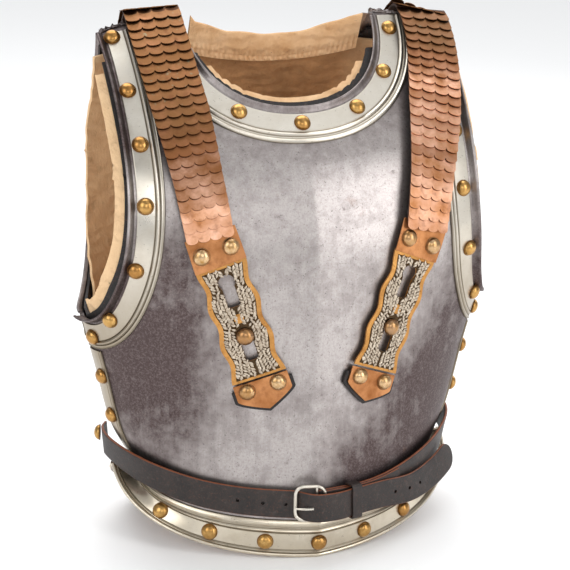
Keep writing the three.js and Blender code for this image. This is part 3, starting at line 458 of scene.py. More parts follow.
def rounded(outline, radius, steps=3):
    """A closed outline of pairs with its corners rounded off."""
    points = np.array(outline, float)
    result = []
    for before, corner, after in zip(np.roll(points, 1, 0), points, np.roll(points, -1, 0)):
        for f in np.linspace(0, 1, steps + 1):
            a = corner + (before - corner) * min(0.45, radius / (np.linalg.norm(before - corner) + 1e-9))
            b = corner + (after - corner) * min(0.45, radius / (np.linalg.norm(after - corner) + 1e-9))
            result.append((1 - f) ** 2 * a + 2 * f * (1 - f) * corner + f * f * b)
    return [tuple(point) for point in result]


ARM_LIP = {
    FRONT: rounded([
        (2.0, -0.3), (0.2, 0.2), (-1.8, 3.6), (-3.0, 6.4), (-4.4, 7.2), (-5.6, 6.4), (-5.0, 5.2),
        (-4.2, 4.8), (-3.0, 1.8), (-1.2, -1.9), (2.0, -2.6),
    ], 0.8),
    BACK: rounded([
        (2.0, -0.3), (0.2, 0.1), (-1.4, 2.0), (-2.6, 2.5), (-3.4, 1.6), (-2.8, 0.4), (-1.2, -1.9), (2.0, -2.6),
    ], 0.6),
}
NECK_LIP = rounded([
    (2.0, -0.3), (0.2, 0.1), (-1.6, 1.4), (-3.0, 2.8), (-4.4, 3.2), (-5.2, 2.2), (-4.6, 1.1),
    (-2.8, -0.2), (-1.2, -1.9), (2.0, -2.6),
], 0.7)


def armpit_growth(share):
    return 1 + 0.25 * np.maximum(0, 1 - share / 0.2) ** 2


def trimmed(piece):
    """Cuts a strip off level just under the shoulder edge and closes the cut."""
    return edit(piece, lambda: bpy.ops.mesh.bisect(
        plane_co=tuple(in_frame((0, 0, LEVEL_TOP))), plane_no=(0, 0, 1), clear_outer=True, use_fill=True))


for side in (FRONT, BACK):
    turn = 1 if side == FRONT else -1
    arm = along_edge(side, arm_edge(side, 150), turn, ARM_LIP[side], armpit_growth)
    neck = along_edge(side, neck_edge(side, 130), -turn, NECK_LIP)
    lip = trimmed(strip("lip", arm))
    skins[side] = together(skins[side].name, skins[side], lip, copied(lip, "lip_other", mirror=True),
                           trimmed(strip("neck_lip", neck)))
    smooth(skins[side], 40)

# %% Profiles of the borders
BAND_FOOT, BAND_TOP = 0.15, 1.5


def border(start, end, features, count=64):
    """The profile of a border: its top with beads and grooves, rounded edges, and a flat underside.
    The third number of each point is how sheltered it is, which tarnish follows."""
    s = np.linspace(start, end, count)
    h, shelter = np.full(count, BAND_TOP), np.zeros(count)
    for centre, half, rise in features:
        off = np.abs(s - centre)
        h += rise * np.cos(np.clip(off / half, 0, 1) * math.pi / 2) ** 2
        low, most = (np.abs(off - half), 0.75) if rise > 0 else (off, 1)
        shelter = np.maximum(shelter, np.exp(-(low / 0.8) ** 2) * most)
    edge = np.minimum(s - start, end - s)
    shelter = np.maximum(shelter, np.exp(-((edge / 0.5) ** 2)) * 0.9)
    h = BAND_FOOT + (h - BAND_FOOT) * np.sqrt(np.clip(1 - (1 - np.clip(edge / 0.8, 0, 1)) ** 2, 0.06, 1))
    under = [(end, BAND_FOOT), ((start + end) / 2, BAND_FOOT), (start, BAND_FOOT)]
    return list(zip(s, h)) + under, np.r_[shelter, 1, 1, 1]


def border_strip(rings, shelter):
    return smooth(trimmed(strip("border", rings, layer="shelter", values=shelter)))


ARM_BAND = border(2.2, 27.5, [(19.0, 0.6, -0.7), (21.2, 1.7, 0.9), (23.4, 0.6, -0.7), (26.7, 0.8, 0.5)])
NECK_BAND = border(2.4, 33.0, [(21.6, 0.6, -0.6), (24.0, 1.9, 1.0), (26.4, 0.6, -0.6), (30.6, 2.0, 0.9)])
SIDE_BAND = border(0.6, 24.5, [(20.3, 0.5, -0.6), (23.6, 0.8, 0.5)], 40)
WAIST_BAND = border(3.4, 40.0, [
    (5.0, 1.3, 0.9), (7.4, 0.7, -0.8), (27.6, 0.5, -0.6), (29.8, 1.7, 0.9), (32.0, 0.5, -0.6), (36.6, 3.0, 1.0),
], 80)

# %% [markdown]
# ## The borders
# A neck border, arm borders, side borders and a waist border follow the edges of each plate. The waist
# border runs over the flared skirt, whose rows are rows of the form, and its lower edge is a roll of its
# own, on which the cuirass stands.

# %% Build the borders
def waist_points(side, profile, count=170):
    t = np.linspace(-FLANK_END, FLANK_END, count)
    columns = [off_form(side, t, np.full(count, 0.08 + s / 40 * 0.92), np.full(count, h)) for s, h in profile]
    return np.stack(columns, axis=1)


def rim_roll(side, radius=2.0, count=170):
    """The round roll along the lower edge of the skirt."""
    t = np.linspace(-FLANK_END, FLANK_END, count)
    v = np.full(count, FOOT_ROW)
    across, up = slopes(side, t, v)
    normal, up = facing(side, t, v), unit(up)
    centre = on_form(side, t, v) + normal * 0.7 + up * 0.4
    turns = np.linspace(0, 2 * math.pi, 14, endpoint=False)
    return np.stack([centre + radius * (normal * math.cos(a) + up * math.sin(a)) for a in turns], axis=1)


def side_points(profile, count=60):
    """Down the flank of the breast, from the arm border to the waist border."""
    v = np.linspace(1.1, 3.185, count)
    edge = on_form(FRONT, np.full(count, 1.0), v)
    forward = np.array([0.0, -1.0, 0.0])
    columns = []
    for s, h in profile:
        t, row = nearest(FRONT, edge + forward * s, np.full(count, 0.9), v)
        columns.append(off_form(FRONT, t, row, np.full(count, h)))
    return np.stack(columns, axis=1)


borders = {}
for side, plate in ((FRONT, "breast"), (BACK, "back")):
    turn = 1 if side == FRONT else -1
    neck = along_edge(side, neck_edge(side, 150), -turn, NECK_BAND[0])
    borders[f"{plate}_neck_band"] = border_strip(neck, NECK_BAND[1])
    arm = border_strip(along_edge(side, arm_edge(side, 150), turn, ARM_BAND[0]), ARM_BAND[1])
    borders[f"{plate}_arm_band_right"] = arm
    borders[f"{plate}_arm_band_left"] = copied(arm, "border", mirror=True)
    waist = border_strip(waist_points(side, WAIST_BAND[0]), WAIST_BAND[1])
    borders[f"{plate}_waist_band"] = together("border", waist, strip("roll", rim_roll(side)))
flank = border_strip(side_points(SIDE_BAND[0]), SIDE_BAND[1])
borders["breast_side_band_right"] = flank
borders["breast_side_band_left"] = copied(flank, "border", mirror=True)
for name, piece in borders.items():
    piece.name = name
print(len(borders), "borders")

# %% [markdown]
# ## Rivets
# The borders are held by brass rivets with high round heads. One head is modelled: a sphere cut through
# its middle, flattened a little, with a thin collar where it meets the border. It is then copied to each
# place and turned so that it stands square on the form.

# %% Model one dome-headed rivet
def dome(name, radius, height, collar=0.5):
    """A dome that stands on the floor at the origin, in metres."""
    piece = primitive("uv_sphere", name, segments=28, ring_count=16, radius=1)
    cut, sheet = 0.12, 0.7 * MM
    edit(
        piece,
        lambda: bpy.ops.mesh.bisect(plane_co=(0, 0, -cut), plane_no=(0, 0, 1), clear_inner=True, use_fill=True),
        lambda: bpy.ops.mesh.select_all(action="SELECT"),
        lambda: bpy.ops.transform.translate(value=(0, 0, cut)),
        lambda: bpy.ops.transform.resize(
            value=(radius * MM, radius * MM, height / (1 + cut) * MM), center_override=(0, 0, 0)),
    )
    ring = primitive("cylinder", "ring", vertices=28, radius=(radius + collar) * MM, depth=sheet,
                     location=(0, 0, sheet / 2))
    head = together(name, piece, bevelled(ring, 0.25, degrees=30))
    rise = np.array([vertex.co.z for vertex in head.data.vertices]) / (0.26 * height * MM)
    return smooth(written(head, "foot", np.exp(-(rise ** 2))), 40)


rivet = dome("rivet", 7.3, 5.9)


def stood(piece, name, foot, normal):
    """A copy of a piece, stood at a foot in millimetres on the form, square to a normal."""
    copy = copied(piece, name)
    out = Vector(normal).normalized()
    side = Vector((0, 0, 1)).cross(out).normalized()
    turn = Matrix((side, out.cross(side), out)).transposed().to_4x4()
    copy.data.transform(Matrix.Translation(Vector(in_frame(foot))) @ turn)
    return copy


def riveted(side, places):
    """Rivets at places (t, v) of one plate, as one piece."""
    feet = [(off_form(side, np.array(t), np.array(v), BAND_TOP - 0.1), facing(side, t, v)) for t, v in places]
    return together("rivets", *[stood(rivet, "head", foot, normal) for foot, normal in feet])


NECK_RIVETS = {
    FRONT: {"centre": (0, 399), "inner": (57, 409.5), "outer": (92, 437), "shoulder": (110, 472)},
    BACK: {"centre": (0, 431), "inner": (52, 438), "outer": (97, 456)},
}
ARM_RIVETS = {
    FRONT: [(158, 469), (154, 428), (151, 386), (152, 336), (161, 278), (179, 226), (189.5, 203)],
    BACK: [(153, 424), (153, 378), (156, 330), (166, 278), (173, 231)],
}
SIDE_RIVETS = [162, 120]
WAIST_RIVETS = {"inner": 0.2, "middle": 0.42, "outer": 0.66}
WAIST_RIVET_ROW = 0.47


def seen_at(x, z):
    t, v = place_at(x, z)
    return float(t), float(v)


heads = {}
for hand, sign in (("left", -1), ("right", 1)):
    for name, (x, z) in NECK_RIVETS[FRONT].items():
        hidden = hand == "left" and name in ("outer", "shoulder")
        if name != "centre" and not hidden:
            heads[f"neck_rivet_{name}_{hand}"] = riveted(FRONT, [seen_at(sign * x, z)])
    for side, plate in ((FRONT, "breast"), (BACK, "back")):
        spots = [(x, z) for x, z in ARM_RIVETS[side] if not (hand == "right" and z == 469)]
        heads[f"{plate}_arm_rivets_{hand}"] = riveted(side, [seen_at(sign * x, z) for x, z in spots])
    flank_places = [(sign * 0.895, float(place_at(0, z)[1])) for z in SIDE_RIVETS]
    heads[f"breast_side_rivets_{hand}"] = riveted(FRONT, flank_places)
    for name, t in WAIST_RIVETS.items():
        heads[f"waist_rivet_{name}_{hand}"] = riveted(FRONT, [(sign * t, WAIST_RIVET_ROW)])
heads["neck_rivet_centre"] = riveted(FRONT, [seen_at(0, 399)])
heads["waist_rivet_centre"] = riveted(FRONT, [(0.0, WAIST_RIVET_ROW)])
neck_back = [(sign * x, z) for name, (x, z) in NECK_RIVETS[BACK].items() for sign in (-1, 1) if x or sign > 0]
heads["back_neck_rivets"] = riveted(BACK, [seen_at(x, z) for x, z in neck_back])
girths = [0.0] + [sign * t for t in WAIST_RIVETS.values() for sign in (-1, 1)]
heads["back_waist_rivets"] = riveted(BACK, [(t, WAIST_RIVET_ROW) for t in girths])
for name, piece in heads.items():
    piece.name = name
bpy.data.objects.remove(rivet)
print(len(heads), "pieces of rivet heads")

# %% [markdown]
# ## Linings
# Inside each plate hangs a quilted lining: tan cloth and soft leather towards the rider, faced with black
# leather towards the steel. It stands a little out of the neck and arm openings. Both layers are sheets on
# the form again, lower than the plate, and a few long folds are pressed into the tan one.

# %% Build the linings
def creased(t, v):
    """Soft folds and hollows of a lining long in use, in millimetres."""
    drift = 5 * t + 0.7 * np.sin(3.1 * v)
    return 0.45 * np.sin(9 * drift) + 0.315 * np.sin(17 * t - 2.3 * v + 1) + 0.27 * np.sin(6.5 * v + 4 * t)


LINING_FIRST = 1.2


def lining_sheet(name, side, height, thick, arm_reach, neck_reach, last, dent=None):
    """A lining. Its reach out of the arm opening may differ from the armpit to the shoulder."""
    share = np.linspace(0, 1, 111)
    v, t = plate_rows(side, 50, 110, np.interp(share, *arm_reach), LINING_FIRST)
    keep = v < last
    sheet = form_sheet(name, side, v[keep], t[keep], 130, height, neck_reach, dent)
    return smooth(wall(sheet, thick), 60)


# Side, height off the form, thickness, reach out of the arm opening, reach out of the neck, last row.
LININGS = {
    "breast_lining": (FRONT, -7.6, 2.4, ([0, 0.1, 0.3, 1], [6, 12, 17, 16]), 15.0, 7.5, creased),
    "back_lining": (BACK, -8.9, 2.4, ([0, 0.12, 0.3, 0.45, 1], [-12, -3, 9, 12, 14]), 1.0, 7.74, creased),
}
FACINGS = {
    "breast_facing": (FRONT, -3.6, 2.8, ([0, 0.1, 0.3, 1], [2, 6, 9, 7]), 9.5, 7.6),
    "back_facing": (BACK, -4.2, 2.6, ([0, 1], [1, 4]), -4.0, 7.8),
}
linings = {name: lining_sheet(name, *row) for name, row in LININGS.items()}
facings = {name: lining_sheet(name, *row) for name, row in FACINGS.items()}

# %% Build the padded collar of the backplate
COLLAR_SAG = ([-1, -0.93, -0.55, 0.15, 0.4, 0.65, 0.85, 1], [5, -1, -5, -6.5, -4, 0, 2.5, 1.5])
COLLAR = {
    "height_off": -14.7, "half": 86.5, "right": 2.5, "bottom": 446.5, "rise": 12.0, "height": 36.0,
    "lean": 0.48, "pad": 1.7, "seam": 0.17,
}


def collar_rings(columns=260):
    """Rings along the collar: a padded section that is gathered above its lower seam."""
    share = np.linspace(-1, 1, columns)
    low = COLLAR["bottom"] + COLLAR["rise"] * share ** 2
    t, v = place_at(COLLAR["right"] + share * COLLAR["half"], low)
    foot, normal = on_form(BACK, t, v), facing(BACK, t, v)
    up = unit(np.array([0.0, -COLLAR["lean"], 1.0]))
    height = COLLAR["height"] + np.interp(share, *COLLAR_SAG) + 0.7 * np.sin(share * 14)
    gather = np.sin(np.arange(columns) * 0.83) * 0.6 + np.sin(np.arange(columns) * 0.31) * 0.4
    swell = 1.5 * np.sin(share * 4 + 1) + 0.8 * np.sin(share * 11)
    rings = []
    for inner, f in [(True, f) for f in np.linspace(0, 1, 22)] + [(False, f) for f in np.linspace(1, 0, 8)]:
        off = COLLAR["height_off"] - swell * f * (1 - f) * 2 + (0 if inner else 1.5)
        if inner:
            rounded_top = math.sin(min(1, (1 - f) / 0.06 + 0.2) * math.pi / 2)
            pad = COLLAR["pad"] * rounded_top * (0.55 + 0.45 * math.sin(math.pi * min(1, f / 0.9)))
            seam = math.exp(-(((f - COLLAR["seam"]) / 0.035) ** 2))
            below, above = math.exp(-(((f - 0.10) / 0.06) ** 2)), math.exp(-(((f - 0.3) / 0.1) ** 2))
            off = off - pad * (1 - 0.95 * seam) - gather * 1.5 * (below + 0.55 * above)
        rings.append(foot + normal * off[:, None] + up * (f * height)[:, None])
    return np.stack(rings, axis=1)


linings["back_collar"] = strip("back_collar", collar_rings())

# %% [markdown]
# ## Shoulder straps
# A strap of leather runs over each shoulder and is covered in rows of copper scales. Each row is one plate
# with four round scallops, and it overlaps the row below it. The strap's course is a smooth path through
# a few places on the plates. One row is modelled, and copied along the path, tilted so that its free edge
# rides over the next.

# %% The course of a strap
STRAP = {"width": 48.0, "leather": 2.4, "pitch": 9.8, "start": 0.01, "end": 0.99, "heel_rows": 3}
STRAPS = {
    "left": {
        "side": -1, "lift": 5.6, "shoulder": (120, 50, 490), "stud": (67, 219), "lean": 19.5,
        "front": [(98.5, 310), (104.5, 348), (110, 392), (115.5, 440), (118, 468)],
        "back": [(120, 466), (118, 428), (116, 398)],
    },
    "right": {
        "side": 1, "lift": 7.5, "shoulder": (146, 48, 485), "stud": (71, 216), "lean": 21.5,
        "front": [(104.5, 306), (112, 342), (124, 384), (139, 432), (145, 464)],
        "back": [(138, 462), (130, 428), (124, 398)],
    },
}


def smooth_path(stops, count):
    """Points at even distances on a centripetal Catmull-Rom curve, and the share of its length."""
    p = np.array(stops, float)
    p = np.vstack([2 * p[0] - p[1], p, 2 * p[-1] - p[-2]])
    pieces = []
    for i in range(1, len(p) - 2):
        p0, p1, p2, p3 = p[i - 1: i + 3]
        steps = ((p0, p1), (p1, p2), (p2, p3))
        d0, d1, d2 = (max(np.linalg.norm(b[:3] - a[:3]) ** 0.5, 1e-4) for a, b in steps)
        m1 = ((p1 - p0) / d0 - (p2 - p0) / (d0 + d1) + (p2 - p1) / d1) * d1
        m2 = ((p2 - p1) / d1 - (p3 - p1) / (d1 + d2) + (p3 - p2) / d2) * d1
        f = np.linspace(0, 1, 80, endpoint=i == len(p) - 3)[:, None]
        a, b = 2 * (p1 - p2) + m1 + m2, 3 * (p2 - p1) - 2 * m1 - m2
        pieces.append(((a * f + b) * f + m1) * f + p1)
    points = np.vstack(pieces)
    length = np.r_[0, np.cumsum(np.linalg.norm(np.diff(points[:, :3], axis=0), axis=1))]
    even = np.linspace(0, length[-1], count)
    return np.stack([np.interp(even, length, points[:, k]) for k in range(points.shape[1])], axis=1), length[-1]


def eased(rows, reach):
    """Rows smoothed by a running mean over a reach on both sides."""
    padded = np.pad(rows, ((reach, reach), (0, 0)), mode="edge")
    kernel = np.ones(2 * reach + 1) / (2 * reach + 1)
    return np.stack([np.convolve(padded[:, k], kernel, "valid") for k in range(rows.shape[1])], axis=1)


def steadied(across):
    """Evens out the places where the direction across the strap swings over the crest."""
    steady = (across * unit(eased(across, 40))).sum(axis=1) > 0.985
    places = np.arange(len(across))
    across = np.stack([np.interp(places, places[steady], across[steady, k]) for k in range(3)], axis=1)
    return unit(eased(across, 8))


def course_on(stops, count, even=lambda across: across):
    """Origin, along, across and out for every point of a path through stops, and its length."""
    path, length = smooth_path(stops, count)
    origin, out = path[:, :3], path[:, 3:]
    along = unit(np.gradient(origin, axis=0))
    across = even(unit(np.cross(along, out)))
    out = unit(np.cross(across, along))
    return {"origin": origin, "along": along, "across": across, "out": out, "length": length}


def strap_course(route):
    """The course of a strap: up the breast, over the shoulder and down the back."""
    stops = []
    for side, key in ((FRONT, "front"), (BACK, "back")):
        for x, z in route[key]:
            t, v = place_at(route["side"] * x, z)
            normal = facing(side, t, v)
            stops.append(np.r_[on_form(side, t, v) + normal * route["lift"], normal])
        if side == FRONT:
            x, y, z = route["shoulder"]
            stops.append(np.r_[route["side"] * x, y, z, 0, 0, 0])
    crest = len(route["front"])
    stops[crest][3:] = unit(stops[crest - 1][3:] + stops[crest + 1][3:])
    return course_on(stops, 400, steadied)


def at_share(course, share):
    """The frame of a course at a share of its length."""
    last = len(course["origin"]) - 1
    k = np.clip(np.asarray(share) * last, 0, last)
    low = np.floor(k).astype(int).clip(0, last - 1)
    f = (k - low)[..., None]
    keys = ("origin", "along", "across", "out")
    return {key: course[key][low] * (1 - f) + course[key][low + 1] * f for key in keys}


def laid(course, share, across, out):
    """Points laid on a course at shares of its length."""
    at = at_share(course, share)
    return at["origin"] + at["across"] * np.asarray(across)[..., None] + at["out"] * np.asarray(out)[..., None]


def ribbon(name, course, outline, shares):
    """A closed strip of leather whose cross-section is an outline of (across, out) pairs."""
    slim = np.array([taper(share * course["length"] / STRAP["pitch"]) for share in shares])
    rings = [laid(course, shares, a * slim, np.full(len(shares), o)) for a, o in outline]
    return strip(name, np.stack(rings, axis=1))


# %% Model one row of scales
SCALES = {"scallops": 4, "length": 13.4, "depth": 3.4, "sheet": 0.7, "dome": 0.55, "tilt": 1.7}


def scale_row(name):
    """One row: x across, y up the strap, z out. The free edge with its scallops is at y below 0."""
    columns, rows = 16 * SCALES["scallops"] + 1, 9
    half = STRAP["width"] / 2
    x = np.linspace(-half, half, columns)
    phase = (x + half) / (2 * half) * SCALES["scallops"] % 1
    phase[-1] = 1
    bow = np.sqrt(np.clip(1 - (2 * phase - 1) ** 2, 0, 1))
    edge = -SCALES["depth"] * bow
    f = np.linspace(0, 1, rows)[:, None]
    y = edge[None, :] * (1 - f) + SCALES["length"] * f
    fade = np.clip(1 - f / 0.6, 0, 1)
    z = SCALES["dome"] * bow[None, :] * fade + SCALES["tilt"] * (1 - f)
    points = np.stack([np.broadcast_to(x, y.shape), y, z], axis=-1)
    piece = grid(name, points * MM)
    # How far each point lies below the edge of the row above; the copper paints a dark line of painted shadow
    # there.
    written(piece, "below", (edge[None, :] + STRAP["pitch"] - y).ravel())
    return smooth(wall(piece, SCALES["sheet"]), 40)


def taper(row):
    """The strap narrows from the shoulder to the clamp."""
    return float(np.interp(row, [0, 5, 12, 18], [0.90, 0.94, 1.09, 1.09]))


# %% Lay the leather and the scales along each strap
# For each strap: the row where the copper starts to dull, and over how many rows it does.
DULL = {"left": (1, 10), "right": (14, 5)}
row_model = scale_row("scale_row")
strap_pieces, courses = {}, {}
chance = np.random.default_rng(7)
for hand, route in STRAPS.items():
    course = courses[hand] = strap_course(route)
    rows = round(course["length"] / STRAP["pitch"])
    share = lambda f: STRAP["start"] + (STRAP["end"] - STRAP["start"]) * np.asarray(f)
    half, thick = STRAP["width"] / 2 - 1.6, STRAP["leather"]
    outline = rounded([(-half, 0), (half, 0), (half, thick), (-half, thick)], 0.7)
    shares = share(np.linspace(0, 1, 120))
    strap_pieces[f"strap_leather_{hand}"] = ribbon(f"strap_leather_{hand}", course, outline, shares)
    parts = []
    for row in range(rows - STRAP["heel_rows"], -1, -1):
        at = at_share(course, share(row / rows))
        wobble = chance.normal(0, 1, 3)
        copy = copied(row_model, "row")
        foot = at["origin"] + at["out"] * (thick + 1.1) - at["along"] * 4.0
        basis = Matrix((at["across"], at["along"], at["out"])).transposed().to_4x4()
        rock = Matrix.Rotation(math.radians(0.8 * wobble[0]), 4, "X")
        rock = rock @ Matrix.Rotation(math.radians(0.5 * wobble[1]), 4, "Z")
        slim = Matrix.Diagonal((taper(row), 1, 1, 1))
        copy.data.transform(Matrix.Translation(Vector(in_frame(foot))) @ basis @ rock @ slim)
        written(copy, "tone", 0.5 + 0.22 * wobble[2])
        written(copy, "height", np.clip((row - DULL[hand][0]) / DULL[hand][1], 0, 1))
        parts.append(copy)
    strap_pieces[f"strap_scales_{hand}"] = together(f"strap_scales_{hand}", *parts)
    print(hand, "strap:", round(course["length"]), "mm,", len(parts), "rows")
bpy.data.objects.remove(row_model)

# %% [markdown]
# ## The keyhole plates
# Below the scales a cast and gilt plate hangs over a stud on the breast. Its sides are wavy, two keyholes
# are cut through it, and laurel leaves stand on its face. It is made flat, as a founder would: a grid in
# the plate's outline, thickened, the keyholes cut by a Boolean, the edges bevelled, the leaves laid on.
# Only then is it bent onto the breast.

# %% A flat frame on the breast at a stud
SHEET_LOW = 4.4


def patch_of(route):
    """The place of a strap's stud on the breast, and the directions of a flat plate that leans there."""
    side = route["side"]
    t, v = place_at(side * route["stud"][0], route["stud"][1])
    out = facing(FRONT, t, v)
    lean = math.radians(route["lean"])
    rough = np.array([side * math.sin(lean), 0, math.cos(lean)])
    along = unit(rough - out * (rough @ out))
    origin, across = on_form(FRONT, t, v), np.cross(along, out)
    return {"t": t, "v": v, "origin": origin, "out": out, "along": along, "across": across}


def bend_onto(patch, piece):
    """Bends a piece that was made flat, in metres, onto the breast at a patch."""
    flat = np.empty(len(piece.data.vertices) * 3, np.float32)
    piece.data.vertices.foreach_get("co", flat)
    flat = flat.reshape(-1, 3).astype(float) / MM
    target = patch["origin"] + flat[:, :1] * patch["across"] + flat[:, 1:2] * patch["along"]
    t, v = nearest(FRONT, target, np.full(len(flat), float(patch["t"])), np.full(len(flat), float(patch["v"])))
    set_points(piece, in_frame(off_form(FRONT, t, v, flat[:, 2])))
    return piece


def flat_sheet(name, half_width, bottom, top, low, thick, columns=36, rows=80):
    """A flat plate in metres: half_width gives its half width at each height."""
    y = np.linspace(bottom, top, rows)
    x = half_width(y)[:, None] * np.linspace(-1, 1, columns)[None, :]
    points = np.stack([x, np.broadcast_to(y[:, None], x.shape), np.full(x.shape, float(low))], axis=-1)
    return wall(grid(name, points * MM), thick, inward=False)


def take_out(piece, *cutters):
    """Cuts other pieces out of one and removes them."""
    for cutter in cutters:
        modifier(piece, "BOOLEAN", object=cutter, operation="DIFFERENCE", solver="EXACT")
        bpy.data.objects.remove(cutter)
    return piece


# %% Model the keyhole plate
KEY_PLATE = {"bottom": -42.0, "top": 71.0, "half_top": 21.5, "half_bottom": 23.5, "wave": 1.7, "thick": 1.7}
KEY_WAVES, KEY_WAVES_LENGTH = 3, 110.0
KEYHOLES = [(0.0, -24.0), (53.0, 29.0)]
KEYHOLE_RADIUS, SLOT_HALF = 7.6, 5.6
FIELD = {"inset": 4.4, "bottom": -39.5, "top": 66.5, "sunk": 0.2, "thick": 0.45}


def key_half(y):
    """The half width of the keyhole plate, whose sides are wavy."""
    f = (y - KEY_PLATE["bottom"]) / KEY_WAVES_LENGTH
    straight = KEY_PLATE["half_bottom"] + (KEY_PLATE["half_top"] - KEY_PLATE["half_bottom"]) * f
    return straight + KEY_PLATE["wave"] * np.cos(2 * math.pi * KEY_WAVES * f)


def keyhole_cutter(along, slot):
    """A round hole with a slot below it."""
    hole = primitive("cylinder", "hole", vertices=40, radius=KEYHOLE_RADIUS * MM, depth=20 * MM,
                     location=(0, along * MM, 5 * MM))
    slot_box = primitive("cube", "slot", size=1, location=(0, (along + slot) / 2 * MM, 5 * MM),
                         scale=(2 * SLOT_HALF * MM, (along - slot) * MM, 19 * MM))
    modifier(hole, "BOOLEAN", object=slot_box, operation="UNION", solver="EXACT")
    bpy.data.objects.remove(slot_box)
    return hole


key_model = flat_sheet("key_plate", key_half, KEY_PLATE["bottom"], KEY_PLATE["top"], SHEET_LOW,
                       KEY_PLATE["thick"])
take_out(key_model, *[keyhole_cutter(along, slot) for along, slot in KEYHOLES])
smooth(bevelled(key_model, 0.35), 30)
print("keyhole plate:", len(key_model.data.polygons), "faces")

# The field that the leaves stand on; its dark colour is painted shade of the recesses between them.
field_model = flat_sheet("key_field", lambda y: key_half(y) - FIELD["inset"], FIELD["bottom"], FIELD["top"],
                         SHEET_LOW + KEY_PLATE["thick"] - FIELD["sunk"], FIELD["thick"])
take_out(field_model, *[keyhole_cutter(along, slot) for along, slot in KEYHOLES])

# %% Model the laurel that stands on it
def leaf_model(name):
    """One leaf, pointing along y, with a groove down its middle."""
    piece = primitive("ico_sphere", name, subdivisions=2, radius=1)
    for vertex in piece.data.vertices:
        x, y, z = vertex.co
        narrow = max(0.06, 1 - abs(y) ** 1.7)
        groove = 0.45 * math.exp(-((x / 0.22) ** 2)) * (z > 0)
        vertex.co = (x * 1.45 * narrow * MM, y * 3.0 * MM, (z * 1.35 - groove) * narrow * MM)
    return smooth(piece, 60)


def laurel(name, height):
    """Leaves and berries in two strings along both sides of the keyholes, crossing between them."""
    leaf = leaf_model("leaf")
    berry = smooth(primitive("ico_sphere", "berry", subdivisions=1, radius=1.15 * MM), 60)
    rolls = np.random.default_rng(3)
    parts = []

    def put(model, x, y, angle, size=1.0):
        copy = copied(model, "bit")
        copy.data.transform(Matrix.Translation((x * MM, y * MM, (height + 0.2 * rolls.random()) * MM))
                            @ Matrix.Rotation(math.radians(angle), 4, "Z") @ Matrix.Scale(size, 4))
        parts.append(copy)

    def open_at(y):
        """How far from the middle the leaves begin: beside a round hole, beside a slot, or between."""
        return 7.6 if -7 < y < 8 or 46 < y < 61 else 5.8 if -25 < y < 61 and not 9 < y < 27 else 1.2

    for sign in (-1, 1):
        for y in np.arange(-37.5, 65.5, 2.9):
            inner, outer = open_at(y), float(key_half(np.array(y))) - 4.9
            count = max(2, round((outer - inner) / 3.3))
            for k in range(count):
                x = inner + (outer - inner) * (k + 0.5) / count
                odd, roll = (k + count) % 2, rolls.random()
                turn = -sign * (26 + 26 * roll) if odd else sign * (18 + 30 * roll)
                up = y + 1.7 * (k % 2) + 0.7 * (rolls.random() - 0.5)
                put(leaf, sign * x, up, turn, 0.82 + 0.3 * rolls.random())
            if rolls.random() < 0.5:
                put(berry, sign * (inner + (outer - inner) * rolls.random()), y + 1.6, 0)
    for model in (leaf, berry):
        bpy.data.objects.remove(model)
    return together(name, *parts)


relief_model = laurel("key_relief", SHEET_LOW + KEY_PLATE["thick"] + 0.35)
print("laurel:", len(relief_model.data.polygons), "faces")

# %% Model the clamp, the tip, its leather and the stud
CLAMP = {"bottom": 69.0, "top": 100.0, "half": 23.6, "rivet": (13.5, 83.0), "low": 6.2}
TIP = {"bottom": -73.5, "shoulder": -59.5, "top": -44.0, "half": 25.5, "rivet": (14.5, -52.0), "low": 4.4}
COPPER_SHEET = 1.5


def pointed(margin):
    """The outline of the strap's end: straight sides, then two slightly hollow slopes to a point."""
    def half(y):
        low, knee = TIP["bottom"] - margin, TIP["shoulder"] - margin * 0.4
        f = np.clip((y - low) / (knee - low), 0, 1)
        return np.maximum((TIP["half"] + margin) * (1 - (1 - f) ** 1.3), 0.05)
    return half


def straight(y):
    return np.full_like(y, CLAMP["half"])


def domes_on(plate):
    """Two domes on a copper plate, either side of its middle, still flat."""
    x, y = plate["rivet"]
    pair = [copied(big_rivet, "head") for _ in range(2)]
    for head, sign in zip(pair, (-1, 1)):
        head.data.transform(Matrix.Translation((sign * x * MM, y * MM, (plate["low"] + COPPER_SHEET) * MM)))
    return together("domes", *pair)


def stud_model():
    """A stud: a neck that fills the keyhole's slot and a round head over it."""
    neck = primitive("cylinder", "neck", vertices=28, radius=5.0 * MM, depth=7.2 * MM,
                     location=(0, 0, 4.4 * MM))
    head = dome("head", 7.8, 6.4, 0.3)
    head.data.transform(Matrix.Translation((0, 0, 7.4 * MM)))
    return smooth(together("stud", neck, head), 40)


def boss_model():
    """The gilt boss between the two keyholes."""
    boss = primitive("cylinder", "boss", vertices=24, radius=4.6 * MM, depth=1.2 * MM,
                     location=(0, 17.5 * MM, 6.4 * MM))
    return smooth(bevelled(boss, 0.35, degrees=30), 35)


big_rivet = dome("big_rivet", 7.4, 6.0)
BACKING = {"margin": 3.2, "top": TIP["top"] - 6, "low": 1.2, "thick": 2.8}
clamp_model = flat_sheet("clamp", straight, CLAMP["bottom"], CLAMP["top"], CLAMP["low"], COPPER_SHEET, 30, 16)
tip_model = flat_sheet("tip", pointed(0.0), TIP["bottom"], TIP["top"], TIP["low"], COPPER_SHEET, 30, 26)
backing_model = flat_sheet("backing", pointed(BACKING["margin"]), TIP["bottom"] - BACKING["margin"],
                           BACKING["top"], BACKING["low"], BACKING["thick"], 30, 26)
for model, width in ((clamp_model, 0.5), (tip_model, 0.5), (backing_model, 0.6)):
    smooth(bevelled(model, width, 3))
stud = stud_model()


